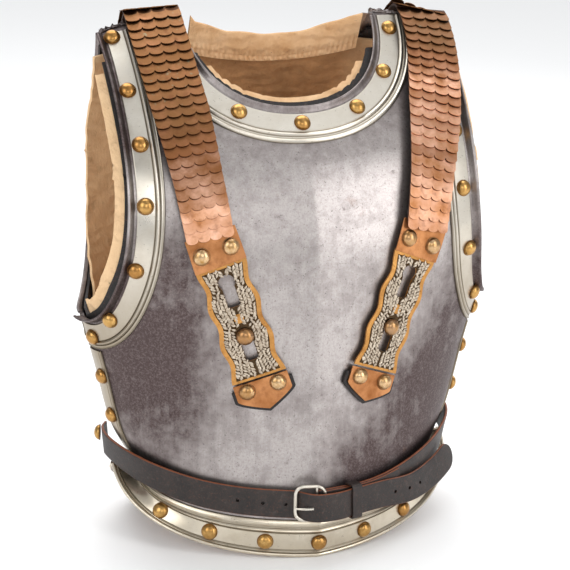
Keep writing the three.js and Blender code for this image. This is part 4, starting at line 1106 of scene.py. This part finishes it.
# %% Bend the flat pieces onto the breast
MODELS = {
    "key_plate": key_model, "key_field": field_model, "key_relief": relief_model,
    "strap_clamp": clamp_model, "strap_tip": tip_model, "tip_backing": backing_model,
    "clamp_domes": domes_on(CLAMP), "tip_domes": domes_on(TIP), "key_button": boss_model(),
}
for hand, route in STRAPS.items():
    patch = patch_of(route)
    for name, model in MODELS.items():
        strap_pieces[f"{name}_{hand}"] = bend_onto(patch, copied(model, f"{name}_{hand}"))
    strap_pieces[f"breast_stud_{hand}"] = stood(stud, f"breast_stud_{hand}", patch["origin"], patch["out"])
for model in (*MODELS.values(), stud):
    bpy.data.objects.remove(model)

# %% The plates that hold the straps behind
for hand, course in courses.items():
    rows = round(course["length"] / STRAP["pitch"])
    first = STRAP["start"] + (STRAP["end"] - STRAP["start"]) * (rows - STRAP["heel_rows"] + 0.1) / rows
    shares = np.linspace(first, STRAP["end"], 14)
    low, half = STRAP["leather"] + 0.3, STRAP["width"] / 2
    high = low + COPPER_SHEET
    outline = rounded([(-half, low), (half, low), (half, high), (-half, high)], 0.5)
    strap_pieces[f"strap_heel_{hand}"] = ribbon(f"strap_heel_{hand}", course, outline, shares)
    middle = at_share(course, shares[len(shares) // 2])
    feet = [middle["origin"] + middle["across"] * across + middle["out"] * (high - 0.1) for across in (-13, 13)]
    pair = [stood(big_rivet, "dome", foot, middle["out"]) for foot in feet]
    strap_pieces[f"heel_domes_{hand}"] = together(f"heel_domes_{hand}", *pair)
print(len(strap_pieces), "pieces of the straps")

# %% [markdown]
# ## The waist belt
# Two leather straps start from studs at the sides. The left one, the tongue, runs under the buckle's
# frame, over its bar and through a leather keeper, and its round end stands off over the flared rim. The
# right one is folded round the bar and stitched. Both are ribbons on a course that stays off the form.

# %% The course of the belt
BELT = {"width": 27.0, "thick": 2.7, "corner": 0.75}
# Stops of a course: girth, height, distance off the form and tilt in degrees.
TONGUE = [
    (-1.17, 86, 10, -5), (-1.08, 87, 10, -5), (-0.97, 84, 7, -7), (-0.75, 76, 4.2, -6), (-0.5, 65, 4, 0),
    (-0.3, 60, 3.8, 3),
    (-0.14, 58, 4, 4), (-0.1, 57.5, 4, 4), (-0.02, 57, 14.6, 4), (0.04, 56.5, 15.2, 4), (0.12, 56, 12.6, 4),
    (0.25, 55, 11, 4), (0.44, 49, 10, 10), (0.62, 49, 10, 16), (0.74, 51.5, 10.5, 20), (0.81, 53.5, 11, 22),
]
BUCKLE_STRAP = [
    (-0.01, 57, 4, 4), (0.22, 57.5, 5.8, 4), (0.45, 64, 4.4, 0), (0.7, 76, 4.2, -6), (0.95, 87, 4.4, -8),
    (1.2, 92, 3.8, 0),
]


def girth_place(girth, z):
    """The side, t and v of a place round the body: girth past 1 either way runs onto the back."""
    side = BACK if abs(girth) > 1 else FRONT
    t = math.copysign(2 - abs(girth), girth) if abs(girth) > 1 else girth
    low, high = 0.0, float(LAST_ROW)
    for _ in range(30):
        v = (low + high) / 2
        row = row_values(np.array(v))
        low, high = (v, high) if row["z"] + row["lift"] * t * t < z else (low, v)
    return side, t, v


def belt_stop(girth, z, off, tilt):
    """A point of the belt's inner face and the way it faces, clear of the form under its whole width."""
    side, t, v = girth_place(girth, z)
    level = unit(facing(side, t, v) * (1, 1, 0))
    out = unit(np.array([level[0], level[1], math.tan(math.radians(tilt))]))
    origin = on_form(side, t, v)
    bulge = []
    for share in (-1, -0.5, 0, 0.5, 1):
        near_side, near_t, near_v = girth_place(girth, z + share * BELT["width"] / 2)
        bulge.append((on_form(near_side, near_t, near_v) - origin) @ out)
    return np.r_[origin + out * (off + max(bulge)), out]


def belt_course(table):
    return course_on([belt_stop(*row) for row in table], 600)


def belt_ribbon(name, course, first=0.0, last=1.0, width=None, thick=None, low=0.0, round_end=False, steps=260):
    """A belt strap with rounded edges, and a round free end if asked. An attribute marks its cut edges."""
    half, thick = (width or BELT["width"]) / 2, thick or BELT["thick"]
    shares, slim = np.linspace(first, last, steps), 1.0
    if round_end:
        bend = 1 - (half / course["length"]) * (1 - np.sin(np.linspace(0, math.pi / 2, 24)))
        shares = np.r_[np.linspace(first, bend[0], steps, endpoint=False), bend]
        left = (last - shares) * course["length"]
        slim = np.sqrt(np.clip(1 - np.clip(1 - left / half, 0, 1) ** 2, 0.004, 1))
    side, top = np.linspace(0, thick, 7), np.linspace(half, -half, 13)[1:-1]
    outline = [(half, o) for o in side] + [(a, thick) for a in top]
    outline += [(-half, o) for o in side[::-1]] + [(a, 0.0) for a in top[::-1]]
    rings, cut = [], []
    for a, o in outline:
        at_side = abs(a) == half
        pull = BELT["corner"] * (1 - math.sqrt(max(0.0, 1 - (2 * o / thick - 1) ** 2))) if at_side else 0
        rings.append(laid(course, shares, (abs(a) - pull) * np.sign(a) * slim, np.full(len(shares), o + low)))
        cut.append(float(at_side and 0.1 < o < thick - 0.1))
    return strip(name, np.stack(rings, axis=1), degrees=50, layer="cut_edge", values=cut)


tongue, buckle_strap = belt_course(TONGUE), belt_course(BUCKLE_STRAP)
belt_pieces = {
    "belt_tongue": belt_ribbon("belt_tongue", tongue, round_end=True),
    "belt_buckle_strap": belt_ribbon("belt_buckle_strap", buckle_strap),
}
print("belt: tongue", round(tongue["length"]), "mm, buckle strap", round(buckle_strap["length"]), "mm")


def share_at(table, course, girth):
    """The share of a course's length that lies nearest to a girth."""
    rows = np.array(table, float)
    stop = belt_stop(*[float(np.interp(girth, rows[:, 0], rows[:, k])) for k in range(4)])
    return float(np.argmin(np.linalg.norm(course["origin"] - stop[:3], axis=1)) / (len(course["origin"]) - 1))


# %% Punch the belt's holes
HOLE_GIRTHS = [-0.315, -0.218, -0.132, 0.335, 0.425, 0.505]
pin = primitive("cylinder", "pin", vertices=20, radius=1.7 * MM, depth=14 * MM)
places = [at_share(tongue, share_at(TONGUE, tongue, girth)) for girth in HOLE_GIRTHS]
take_out(belt_pieces["belt_tongue"], *[stood(pin, "pin", at["origin"], at["out"]) for at in places])
bpy.data.objects.remove(pin)

# %% Bend the buckle, set its prong, and loop the keeper
def turns(count):
    """Angles that go once round."""
    return np.linspace(0, 2 * math.pi, count, endpoint=False)


def outward_of(path, normal):
    """The way out of a closed flat path, at each of its points."""
    outward = np.cross(unit(np.roll(path, -1, 0) - np.roll(path, 1, 0)), normal)
    return outward * np.sign(((path - path.mean(0)) * outward).sum(-1, keepdims=True))


def upright_at(girth, z, off, tilt):
    """Origin, right, up and out of a flat thing set on the belt."""
    stop = belt_stop(girth, z, off, tilt)
    out = stop[3:]
    right = -unit(np.cross(out, np.array([0.0, 0.0, 1.0])))
    return stop[:3], right, np.cross(out, right), out


def round_box(width, height, radius, steps=9):
    """The outline of a rounded rectangle."""
    points, right, top = [], width / 2 - radius, height / 2 - radius
    for cx, cy, first in ((1, 1, 0), (-1, 1, 90), (-1, -1, 180), (1, -1, 270)):
        for a in np.radians(np.linspace(first, first + 90, steps)):
            points.append((cx * right + radius * math.cos(a), cy * top + radius * math.sin(a)))
    return points


BUCKLE = {"width": 27.5, "height": 32.6, "corner": 8.0, "wide": 1.75, "high": 1.5}
BAR = {"right": 6.0, "half": 15.6, "radius": 1.3}
PRONG = {"back": 7.5, "length": 16, "dip": 2.6, "radius": 1.35}
KEEPER = {"height": 34.0, "depth": 13.6, "width": 10.5, "wall": 1.8}

origin, right_way, up_way, out_way = upright_at(-0.04, 60.0, 10.6, 4)
path = np.array([origin + right_way * x + up_way * y
                 for x, y in round_box(BUCKLE["width"], BUCKLE["height"], BUCKLE["corner"])])
outward = outward_of(path, out_way)
rings = [path + outward * BUCKLE["wide"] * math.cos(a) + out_way * BUCKLE["high"] * math.sin(a)
         for a in turns(14)]
buckle = strip("belt_buckle", np.stack(rings, axis=1), loop=True, degrees=60)
bar_place = origin + right_way * BAR["right"]
bar = [[bar_place + up_way * y + (right_way * math.cos(a) + out_way * math.sin(a)) * BAR["radius"]
        for a in turns(12)] for y in (-BAR["half"], BAR["half"])]
belt_pieces["belt_buckle"] = together("belt_buckle", buckle, strip("bar", np.array(bar)))

origin, right_way, up_way, out_way = upright_at(-0.06, 57.0, 16.2, 4)
prong_rings = []
for f in np.linspace(0, 1, 12):
    centre = origin + right_way * (PRONG["back"] - PRONG["length"] * f) - up_way * 0.8 * f
    centre = centre + out_way * (0.6 - PRONG["dip"] * f * f)
    radius = PRONG["radius"] * (1 - 0.45 * f ** 3)
    prong_rings.append([centre + (up_way * math.cos(a) + out_way * math.sin(a)) * radius for a in turns(10)])
belt_pieces["belt_prong"] = strip("belt_prong", np.array(prong_rings))

origin, right_way, up_way, out_way = upright_at(0.125, 56.8, 4.2, 4)
path = np.array([origin + up_way * y + out_way * (o + KEEPER["depth"] / 2 + 0.2)
                 for y, o in round_box(KEEPER["height"], KEEPER["depth"], 3.2, 7)])
outward = outward_of(path, right_way)
half = KEEPER["width"] / 2
section = rounded([(-half, 0), (half, 0), (half, -KEEPER["wall"]), (-half, -KEEPER["wall"])], 0.6)
rings = np.stack([path + right_way * a + outward * o for a, o in section], axis=1)
belt_pieces["belt_keeper"] = strip("belt_keeper", rings, loop=True, degrees=50)

# %% The studs at the sides and the folded end of the buckle strap
for hand, sign in (("left", -1), ("right", 1)):
    stop = belt_stop(sign * 1.13, 90, 13.0 if sign < 0 else 6.9, 0)
    belt_pieces[f"belt_stud_{hand}"] = stood(big_rivet, f"belt_stud_{hand}", stop[:3], stop[3:])
bpy.data.objects.remove(big_rivet)
belt_pieces["belt_fold"] = belt_ribbon("belt_fold", buckle_strap, 0.02, 0.36, width=25.5, thick=2.0, low=2.9,
                                       steps=80)
print(len(belt_pieces), "pieces of the belt")
# %% [markdown]
# ## Materials
# Each material is named for the real one and how it was made. One function turns colours to linear and
# one adds a node with its settings and links. The others put several nodes together for a purpose: a
# pattern at its real size, a weighted sum, tints laid one over another. Patterns run in object
# coordinates, which are metres here, so a scale of 1000 gives features of about a millimetre.

# %% Helpers for materials
def linear(code):
    """An sRGB hex colour in Blender's linear numbers."""
    parts = [int(code[i: i + 2], 16) / 255 for i in (1, 3, 5)]
    return tuple(c / 12.92 if c <= 0.04045 else ((c + 0.055) / 1.055) ** 2.4 for c in parts) + (1.0,)


def add(material, kind, feeds, out=0, stops=(), **settings):
    """Adds one node and gives one of its outputs. Feeds are values or links for its sockets, stops are
    the places and greys of a ramp, and settings are the node's own options."""
    tree = material.node_tree
    node = tree.nodes.new("ShaderNode" + kind)
    for key, value in settings.items():
        setattr(node, key, value)
    for socket, source in feeds.items():
        if isinstance(source, bpy.types.NodeSocket):
            tree.links.new(source, node.inputs[socket])
        else:
            node.inputs[socket].default_value = source
    if stops:
        elements = node.color_ramp.elements
        while len(elements) < len(stops):
            elements.new(0.5)
        for element, (place, grey) in zip(elements, stops):
            element.position, element.color = place, (grey, grey, grey, 1)
    return node.outputs[out]


def start(name, color, metallic, roughness):
    """A material with its principled shader, and the place on the piece in metres."""
    material = bpy.data.materials.new(name)
    material.use_nodes = True
    shader = material.node_tree.nodes["Principled BSDF"]
    shader.inputs["Base Color"].default_value = linear(color)
    shader.inputs["Metallic"].default_value = metallic
    shader.inputs["Roughness"].default_value = roughness
    return material, shader, add(material, "TexCoord", {}, "Object")


def pattern(material, place, scale, detail, rough, cut=None, stretch=None):
    """A natural pattern at its real size. It may be stretched, and cut to spots between two levels."""
    if stretch:
        place = add(material, "Mapping", {"Vector": place, "Scale": stretch})
    level = add(material, "TexNoise", {"Vector": place, "Scale": scale, "Detail": detail, "Roughness": rough})
    return add(material, "ValToRGB", {"Fac": level}, stops=((cut[0], 0.0), (cut[1], 1.0))) if cut else level


def weighed(material, *terms, plus=0.0):
    """The sum of pairs of a value and its weight, and a constant."""
    total = None
    for value, weight in terms:
        if weight != 1:
            value = add(material, "Math", {0: value, 1: weight}, operation="MULTIPLY")
        total = value if total is None else add(material, "Math", {0: total, 1: value}, operation="ADD")
    return add(material, "Math", {0: total, 1: plus}, operation="ADD") if plus else total


def tinted(material, color, *layers):
    """Tints over a colour. A layer is where it lies, how much of it, its colour and how it mixes."""
    for where, share, code, *mixing in layers:
        color = add(material, "MixRGB", {
            "Fac": weighed(material, (where, share)), "Color1": color, "Color2": linear(code),
        }, blend_type=mixing[0] if mixing else "MIX")
    return color


def finished(material, shader, color, roughness, relief, depth, strength):
    """Links a colour, a roughness and small relief, its depth in millimetres, to the shader."""
    bump = add(material, "Bump", {"Height": relief, "Distance": depth * MM, "Strength": strength})
    for socket, source in (("Base Color", color), ("Roughness", roughness), ("Normal", bump)):
        if source is not None:
            material.node_tree.links.new(source, shader.inputs[socket])
    return material


# %% [markdown]
# ## Patinated steel
# The plates were scoured up and down for two centuries. They are satin, with fine vertical lines, a
# purplish-brown patina, dark pits, and a few rust-brown stains. Under the neck border, towards the flanks
# and low on the wearer's left the colour is painted darker in broad zones: partly patina, partly painted
# shade for the dark surroundings that the steel reflects there. Patina, lines and pits are three noises at
# their real sizes.

# %% Patinated steel
def patinated_steel(name, patina=1.0):
    material, shader, place = start(name, "#a8a09d", 1.0, 0.34)
    x, z = (add(material, "SeparateXYZ", {"Vector": place}, axis) for axis in "XZ")
    lines = pattern(material, place, 1.0, 5, 0.6, stretch=(1500, 1500, 45))
    streaks = pattern(material, place, 1.0, 3, 0.5, stretch=(190, 190, 9))
    cloud = pattern(material, place, 13, 7, 0.62)
    mottle = pattern(material, place, 75, 5, 0.65)
    grain = pattern(material, place, 520, 5, 0.75)
    pits = pattern(material, place, 620, 2, 0.5, (0.64, 0.71))
    spots = pattern(material, place, 95, 4, 0.6, (0.66, 0.74))
    rust = pattern(material, place, 34, 5, 0.6, (0.68, 0.80))
    scoured = add(material, "ValToRGB", {"Fac": grain}, stops=((0.48, 0.0), (0.62, 1.0)))
    # Three dark zones, in metres, partly patina and partly painted shade for dark reflections: low on the
    # wearer's left, the other flank, and under the neck border.
    slant = weighed(material, (z, 1), (x, -1.4))
    low = add(material, "ValToRGB", {"Fac": slant}, stops=((0.01, 0.98), (0.12, 0.03)))
    aside = weighed(material, (x, -1.0))
    beside = add(material, "ValToRGB", {"Fac": aside}, stops=((0.055, 0.0), (0.125, 1.0)))
    rising = add(material, "ValToRGB", {"Fac": z}, stops=(
        (0.08, 0.5), (0.15, 0.95), (0.27, 0.9), (0.325, 0.25), (0.355, 0.3), (0.39, 0.9)))
    flank = add(material, "Math", {0: beside, 1: rising}, operation="MULTIPLY")
    high = add(material, "ValToRGB", {"Fac": z}, stops=((0.365, 0.0), (0.41, 0.45)))
    patina_and_painted_shade_zone = add(material, "Math", {0: low, 1: flank}, operation="MAXIMUM")
    patina_and_painted_shade_zone = add(material, "Math", {0: patina_and_painted_shade_zone, 1: high}, operation="MAXIMUM")
    # The patina clouds and the zones of patina and painted shade together make the dark mask.
    clouded = weighed(material, (patina_and_painted_shade_zone, 1), (cloud, 1.5), (streaks, 0.35), (mottle, 1.1), plus=-1.43)
    dark = add(material, "Clamp", {"Value": weighed(material, (clouded, patina))})
    # The #473636 over the dark mask is partly patina and partly painted shade of dark reflections.
    color = tinted(
        material, linear("#cdc7c4"), (dark, 0.93, "#473636"), (scoured, 0.34, "#b3a6a3"),
        (lines, 0.35, "#8b8280", "MULTIPLY"), (grain, 0.42, "#5a4d4c"), (pits, 0.45, "#2b2322"),
        (spots, 0.4, "#4a3c3a"), (rust, 0.5, "#7b5236"))
    roughness = weighed(material, (dark, 0.12), (lines, 0.12), plus=0.32)
    relief = weighed(material, (lines, 0.5), (pits, -1.0), (grain, 0.4))
    return finished(material, shader, color, roughness, relief, 0.05, 0.8)


# %% [markdown]
# ## Nickel silver, brass and copper
# The borders are pressed sheet of a pale, slightly yellow alloy, rubbed bright on the fields and tarnished
# in the grooves; an attribute written with the profile says how sheltered each point is. The rivets are
# turned brass, brown at their feet. The scales are copper gone pink, ochre and olive: each row has a tone
# of its own and the rows over the shoulder are dullest. Just under the edge of each row a dark line is
# painted: painted shadow of the row above, which overlaps it.

# %% Pressed nickel silver
def pressed_nickel_silver(name, light="#e8e3d9", dull="#ccc3b4", darken_low=1.0):
    material, shader, place = start(name, "#d2ccc0", 1.0, 0.28)
    shelter = add(material, "Attribute", {}, "Fac", attribute_name="shelter")
    wear = pattern(material, place, 60, 6, 0.6)
    scratches = pattern(material, place, 1.0, 4, 0.6, stretch=(260, 260, 1400))
    stain = pattern(material, place, 22, 5, 0.6, (0.50, 0.78))
    specks = pattern(material, place, 520, 2, 0.5, (0.68, 0.74))
    z = add(material, "SeparateXYZ", {"Vector": place}, "Z")
    # From 0.32 m down to 0.2 m the borders turn darker, towards #857660, by the amount passed in.
    low = add(material, "ValToRGB", {"Fac": z}, stops=((0.20, darken_low), (0.32, 0.0)))
    color = tinted(
        material, linear(light), (wear, 1, dull), (stain, 0.5, "#94826a"), (low, 0.72, "#857660"),
        (scratches, 0.18, "#8d8474"), (shelter, 0.85, "#6f6350"), (specks, 0.5, "#5c5040"))
    roughness = weighed(material, (wear, 0.22), (shelter, 0.15), plus=0.20)
    relief = weighed(material, (wear, 1), (scratches, 0.3))
    return finished(material, shader, color, roughness, relief, 0.06, 0.6)


# %% Turned brass
def turned_brass(name, bright="#c8a062", deep="#6a451e"):
    material, shader, place = start(name, bright, 1.0, 0.4)
    foot = add(material, "Attribute", {}, "Fac", attribute_name="foot")
    wear = pattern(material, place, 220, 5, 0.6)
    rubbed = add(material, "ValToRGB", {"Fac": wear}, stops=((0.35, 0.0), (0.75, 1.0)))
    each = pattern(material, place, 17, 1, 0.5)
    each = add(material, "ValToRGB", {"Fac": each}, stops=((0.42, 0.0), (0.66, 0.7)))
    color = tinted(material, linear(bright), (rubbed, 1, "#a5793f"), (each, 1, "#9a6a38"), (foot, 0.9, deep))
    roughness = weighed(material, (wear, 0.20), (foot, 0.2), plus=0.2)
    return finished(material, shader, color, roughness, wear, 0.05, 0.5)


# %% Hammered and tarnished copper
def tarnished_copper(name, by_row=True):
    material, shader, place = start(name, "#c98a66", 1.0, 0.3)
    cloud = pattern(material, place, 48, 5, 0.6)
    fine = pattern(material, place, 330, 5, 0.65)
    stain = pattern(material, place, 120, 4, 0.6, (0.55, 0.75))
    clouded = add(material, "ValToRGB", {"Fac": cloud}, stops=((0.36, 0.0), (0.68, 1.0)))
    light, deep = ("#f0bfa3", "#c08457") if by_row else ("#c48a5c", "#935c34")
    color = tinted(material, linear(light), (clouded, 1, deep))
    if by_row:
        tone, height, below = (add(material, "Attribute", {}, "Fac", attribute_name=key)
                               for key in ("tone", "height", "below"))
        # Painted shadow: a dark line just under the edge of the row above, where its scallops overlap.
        seam = add(material, "ValToRGB", {"Fac": below}, stops=((0.0, 1.0), (0.9, 0.0)))
        drift = weighed(material, (height, 1), (cloud, 0.9), plus=-0.45)
        toned, dulled, olive, top = (
            add(material, "ValToRGB", {"Fac": level}, stops=((low, 0.0), (full, most)))
            for level, low, full, most in ((tone, 0.40, 0.95, 0.8), (drift, 0.1, 0.65, 0.92),
                                           (drift, 0.75, 1.1, 0.6), (height, 0.9, 1.0, 0.3)))
        spots = pattern(material, place, 160, 3, 0.5, (0.66, 0.74))
        green = add(material, "Math", {0: spots, 1: top}, operation="MULTIPLY")
        # The last tint, #2e1a10, is that painted shadow under each row's edge.
        color = tinted(material, color, (toned, 1, "#94603c"), (dulled, 1, "#8a5a38"), (olive, 1, "#664a2c"),
                       (green, 1, "#7d9a86"), (seam, 0.85, "#2e1a10"))
    color = tinted(material, color, (stain, 0.4, "#7a4a33"))
    roughness = weighed(material, (fine, 0.22), (stain, 0.15), plus=0.32)
    return finished(material, shader, color, roughness, weighed(material, (cloud, 1), (fine, 0.35)), 0.22, 0.6)


# %% Fire-gilt brass, and the silvered laurel with its ground painted dark as shade
def fire_gilt(name, color="#c38f52", dark="#8a5a2c", scale=90):
    material, shader, place = start(name, color, 1.0, 0.3)
    wear = pattern(material, place, scale, 6, 0.62)
    rubbed = add(material, "ValToRGB", {"Fac": wear}, stops=((0.38, 0.0), (0.72, 0.75)))
    spots = pattern(material, place, 400, 3, 0.5, (0.60, 0.72))
    mixed = tinted(material, linear(color), (rubbed, 1, dark), (spots, 0.45, "#4d3118"))
    return finished(material, shader, mixed, weighed(material, (wear, 0.3), plus=0.18), wear, 0.12, 0.6)


# %% [markdown]
# ## Leather and lining
# The belt is dark bridle leather, scuffed grey on its face, with bare red-brown cut edges, which an
# attribute marks. The facings behind the steel are smooth black leather. The lining is tan, soft and
# stained, with creases and folds in relief. Towards both sides its colour is painted lighter, as painted
# light, and the back lining is a darker copy of it, as painted shade under the collar.

# %% Bridle leather
def bridle_leather(name, face="#2a201c", edge=None, rough=0.52):
    material, shader, place = start(name, face, 0.0, rough)
    grain = add(material, "TexVoronoi", {"Vector": place, "Scale": 950.0})
    cloud = pattern(material, place, 70, 6, 0.65)
    scuffs = pattern(material, place, 210, 5, 0.7, (0.55, 0.78))
    cracks = pattern(material, place, 520, 4, 0.7, (0.54, 0.66))
    clouded = add(material, "ValToRGB", {"Fac": cloud}, stops=((0.35, 0.0), (0.7, 1.0)))
    color = tinted(material, linear(face), (clouded, 1, "#120d0b"), (scuffs, 0.45, "#5d4f48"),
                   (cracks, 0.28, "#6a3a26"))
    if edge:
        cut = add(material, "Attribute", {}, "Fac", attribute_name="cut_edge")
        raw = tinted(material, linear(edge), (cloud, 1, "#5c2c18"))
        color = add(material, "MixRGB", {"Fac": cut, "Color1": color, "Color2": raw})
    relief = weighed(material, (grain, 0.5), (scuffs, 0.5), (cloud, 1))
    return finished(material, shader, color, None, relief, 0.28, 0.8)


# %% Tan lining
def tan_lining(name, color, shade):
    material, shader, place = start(name, color, 0.0, 0.88)
    weave = add(material, "TexVoronoi", {"Vector": place, "Scale": 1200.0})
    crease = pattern(material, place, 1.0, 5, 0.6, stretch=(75, 75, 26))
    cloud = pattern(material, place, 32, 6, 0.65, (0.33, 0.72))
    stain = pattern(material, place, 55, 5, 0.65, (0.57, 0.72))
    marks = pattern(material, place, 160, 4, 0.7, (0.66, 0.72))
    # Painted light: more than about 0.1 m to either side of the middle, the lining is painted lighter, towards
    # #f3cfa2.
    x = add(material, "SeparateXYZ", {"Vector": place}, "X")
    aside = add(material, "Math", {0: x}, operation="ABSOLUTE")
    painted_light_aside = add(material, "ValToRGB", {"Fac": aside}, stops=((0.075, 0.0), (0.125, 0.75)))
    tint = tinted(material, linear(color), (cloud, 1, shade), (painted_light_aside, 1, "#f3cfa2"), (stain, 0.35, "#8a5c34"),
                  (marks, 0.6, "#4d2f1a"))
    folds = add(material, "TexWave", {"Vector": place, "Scale": 24.0, "Distortion": 9.0, "Detail": 3.0,
                                      "Detail Scale": 1.2}, "Fac", bands_direction="Z")
    relief = weighed(material, (weave, 0.06), (crease, 1), (folds, 0.35))
    return finished(material, shader, tint, None, relief, 3.2, 0.8)


# %% [markdown]
# ## Dressing the pieces
# Each finished piece gets its material, rides on the body and takes the place of its node.

# %% Finish every piece
steel_front = patinated_steel("steel, scoured and patinated")
steel_back = patinated_steel("steel of the back", 0.8)
silver = pressed_nickel_silver("nickel silver, pressed")
waist_silver = pressed_nickel_silver("nickel silver of the skirt", "#e9e0d0", "#c8bba3", 0.0)
buckle_metal = pressed_nickel_silver("buckle steel, polished", darken_low=0.0)
brass = turned_brass("brass, turned")
stud_brass = turned_brass("brass, brown and rubbed", "#a8886c", "#5e3f26")
strap_brass = turned_brass("brass, pale", "#d6b78f", "#7a5632")
copper = tarnished_copper("copper, tarnished in rows")
copper_sheet = tarnished_copper("copper sheet", by_row=False)
gilt = fire_gilt("brass, fire gilt")
laurel_silver = fire_gilt("laurel, silvered", "#cabdab", "#8a7866", 260)
# The dark ground under the laurel is painted shade of the recesses between the leaves.
laurel_ground_painted_shade = fire_gilt("laurel ground, painted shade", "#4f3e2c", "#2a2016", 200)
belt_hide = bridle_leather("bridle leather with cut edges", edge="#9a5530")
strap_hide = bridle_leather("strap leather", face="#4a2f22")
black_hide = bridle_leather("black facing leather", face="#0f0e0f", rough=0.6)
tan = tan_lining("tan lining, quilted", "#e4bd92", "#c49463")
# The back lining gets a darker copy of the tan lining: painted shade under the collar.
tan_painted_shade = tan_lining("tan lining, painted shade", "#b98c5e", "#8a6440")

# The first row whose beginning fits a piece's name gives its slot and its material.
LOOKS = [
    ("breastplate", "steel", steel_front), ("backplate", "steel", steel_back),
    ("breast_stud", "brass", stud_brass), ("breast_waist_band", "nickel_silver", waist_silver),
    ("back_waist_band", "nickel_silver", waist_silver), ("back_lining", "lining", tan_painted_shade),
    ("strap_leather", "belt_leather", strap_hide), ("strap_scales", "copper", copper),
    ("strap_", "copper", copper_sheet), ("tip_backing", "belt_leather", black_hide),
    ("key_field", "gilt", laurel_ground_painted_shade), ("key_relief", "gilt", laurel_silver), ("key_", "gilt", gilt),
    ("belt_buckle_strap", "belt_leather", belt_hide), ("belt_buckle", "buckle_steel", buckle_metal),
    ("belt_prong", "buckle_steel", buckle_metal), ("belt_stud", "brass", brass),
    ("belt_", "belt_leather", belt_hide),
]
# The others are known by a word in their name.
KINDS = [
    ("band", "nickel_silver", silver), ("rivet", "brass", brass), ("facing", "belt_leather", black_hide),
    ("lining", "lining", tan), ("collar", "lining", tan), ("domes", "brass", strap_brass),
]
plates = {"breastplate": skins[FRONT], "backplate": skins[BACK]}
for name, piece in {**plates, **borders, **heads, **linings, **facings, **strap_pieces, **belt_pieces}.items():
    named = [look for look in LOOKS if name.startswith(look[0])] + [look for look in KINDS if look[0] in name]
    finish(piece, *named[0][1:], *([name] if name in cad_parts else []))
print(len(done), "pieces finished")

# %% [markdown]
# ## Floor, light and camera
# A plain pale floor and soft studio light. Steel shows what stands round it, so the light comes from a few
# large soft boxes with darker gaps between them: they give the plates their bright zones, and their dark
# zones together with the painted shade in the steel's colour.

# %% Floor
floor = primitive("plane", "floor", size=2)
set_points(floor, [(-9, -9, 0), (9, -9, 0), (-9, 14, 0), (9, 14, 0)])
floor.data.materials.append(start("pale floor", "#f8f8f8", 0.0, 0.9)[0])

# %% Camera
EYE, AIM = (-486.6, -1460.2, 702.5), (0.9, 0.0, 233.0)
FOCAL, FRAME, SENSOR, ROLL = 1673.1, 570, 36, math.radians(1.28)
eye, aim = Vector(in_frame(EYE)), Vector(in_frame(AIM))
gaze = (aim - eye).normalized()
right = gaze.cross(Vector((0, 0, 1))).normalized()
up = right.cross(gaze)
right, up = right * math.cos(ROLL) + up * math.sin(ROLL), up * math.cos(ROLL) - right * math.sin(ROLL)
camera = bpy.data.objects.new("camera", bpy.data.cameras.new("camera"))
bpy.context.scene.collection.objects.link(camera)
camera.matrix_world = Matrix.Translation(eye) @ Matrix((right, up, -gaze)).transposed().to_4x4()
camera.data.sensor_width = SENSOR
camera.data.lens = FOCAL / FRAME * SENSOR
camera.data.clip_start, camera.data.clip_end = 0.05, 60
bpy.context.scene.camera = camera

# %% Lights
# Azimuth (0 is straight in front) and elevation in degrees, distance and size in metres, power in watts.
SOFT_BOXES = {
    "right_box": (36, 20, 2.2, (0.75, 1.7), 16),
    "front_box": (-8, 22, 2.3, (0.9, 0.9), 7),
    "high_box": (32, 62, 2.3, (1.5, 0.9), 3.0),
    "left_box": (-58, 26, 2.2, (1.2, 1.4), 14),
    "rim_box": (118, 25, 2.2, (0.7, 1.4), 12),
    "top_box": (180, 66, 2.6, (2.2, 2.0), 26),
}
CHEST = Vector((0, 0, 0.25))
for name, (azimuth, elevation, distance, size, power) in SOFT_BOXES.items():
    a, e = math.radians(azimuth), math.radians(elevation)
    way = Vector((math.sin(a) * math.cos(e), -math.cos(a) * math.cos(e), math.sin(e)))
    lamp = bpy.data.lights.new(name, "AREA")
    lamp.shape, lamp.energy = "RECTANGLE", power
    lamp.size, lamp.size_y = size
    box = bpy.data.objects.new(name, lamp)
    bpy.context.scene.collection.objects.link(box)
    box.location = CHEST + way * distance
    box.rotation_euler = (-way).to_track_quat("-Z", "Y").to_euler()
sun = bpy.data.objects.new("sky_sun", bpy.data.lights.new("sky_sun", "SUN"))
sun.data.energy, sun.data.angle = 1.5, math.radians(70)
sun.rotation_euler = (math.radians(-32), math.radians(8), 0)
bpy.context.scene.collection.objects.link(sun)
world = bpy.context.scene.world or bpy.data.worlds.new("world")
bpy.context.scene.world = world
world.use_nodes = True
background = world.node_tree.nodes["Background"]
background.inputs["Color"].default_value = (0.96, 0.98, 1.0, 1)
background.inputs["Strength"].default_value = 0.46
bpy.context.scene.view_settings.view_transform = "Standard"

# %% The count of pieces, and the end
print("pieces:", len(done))
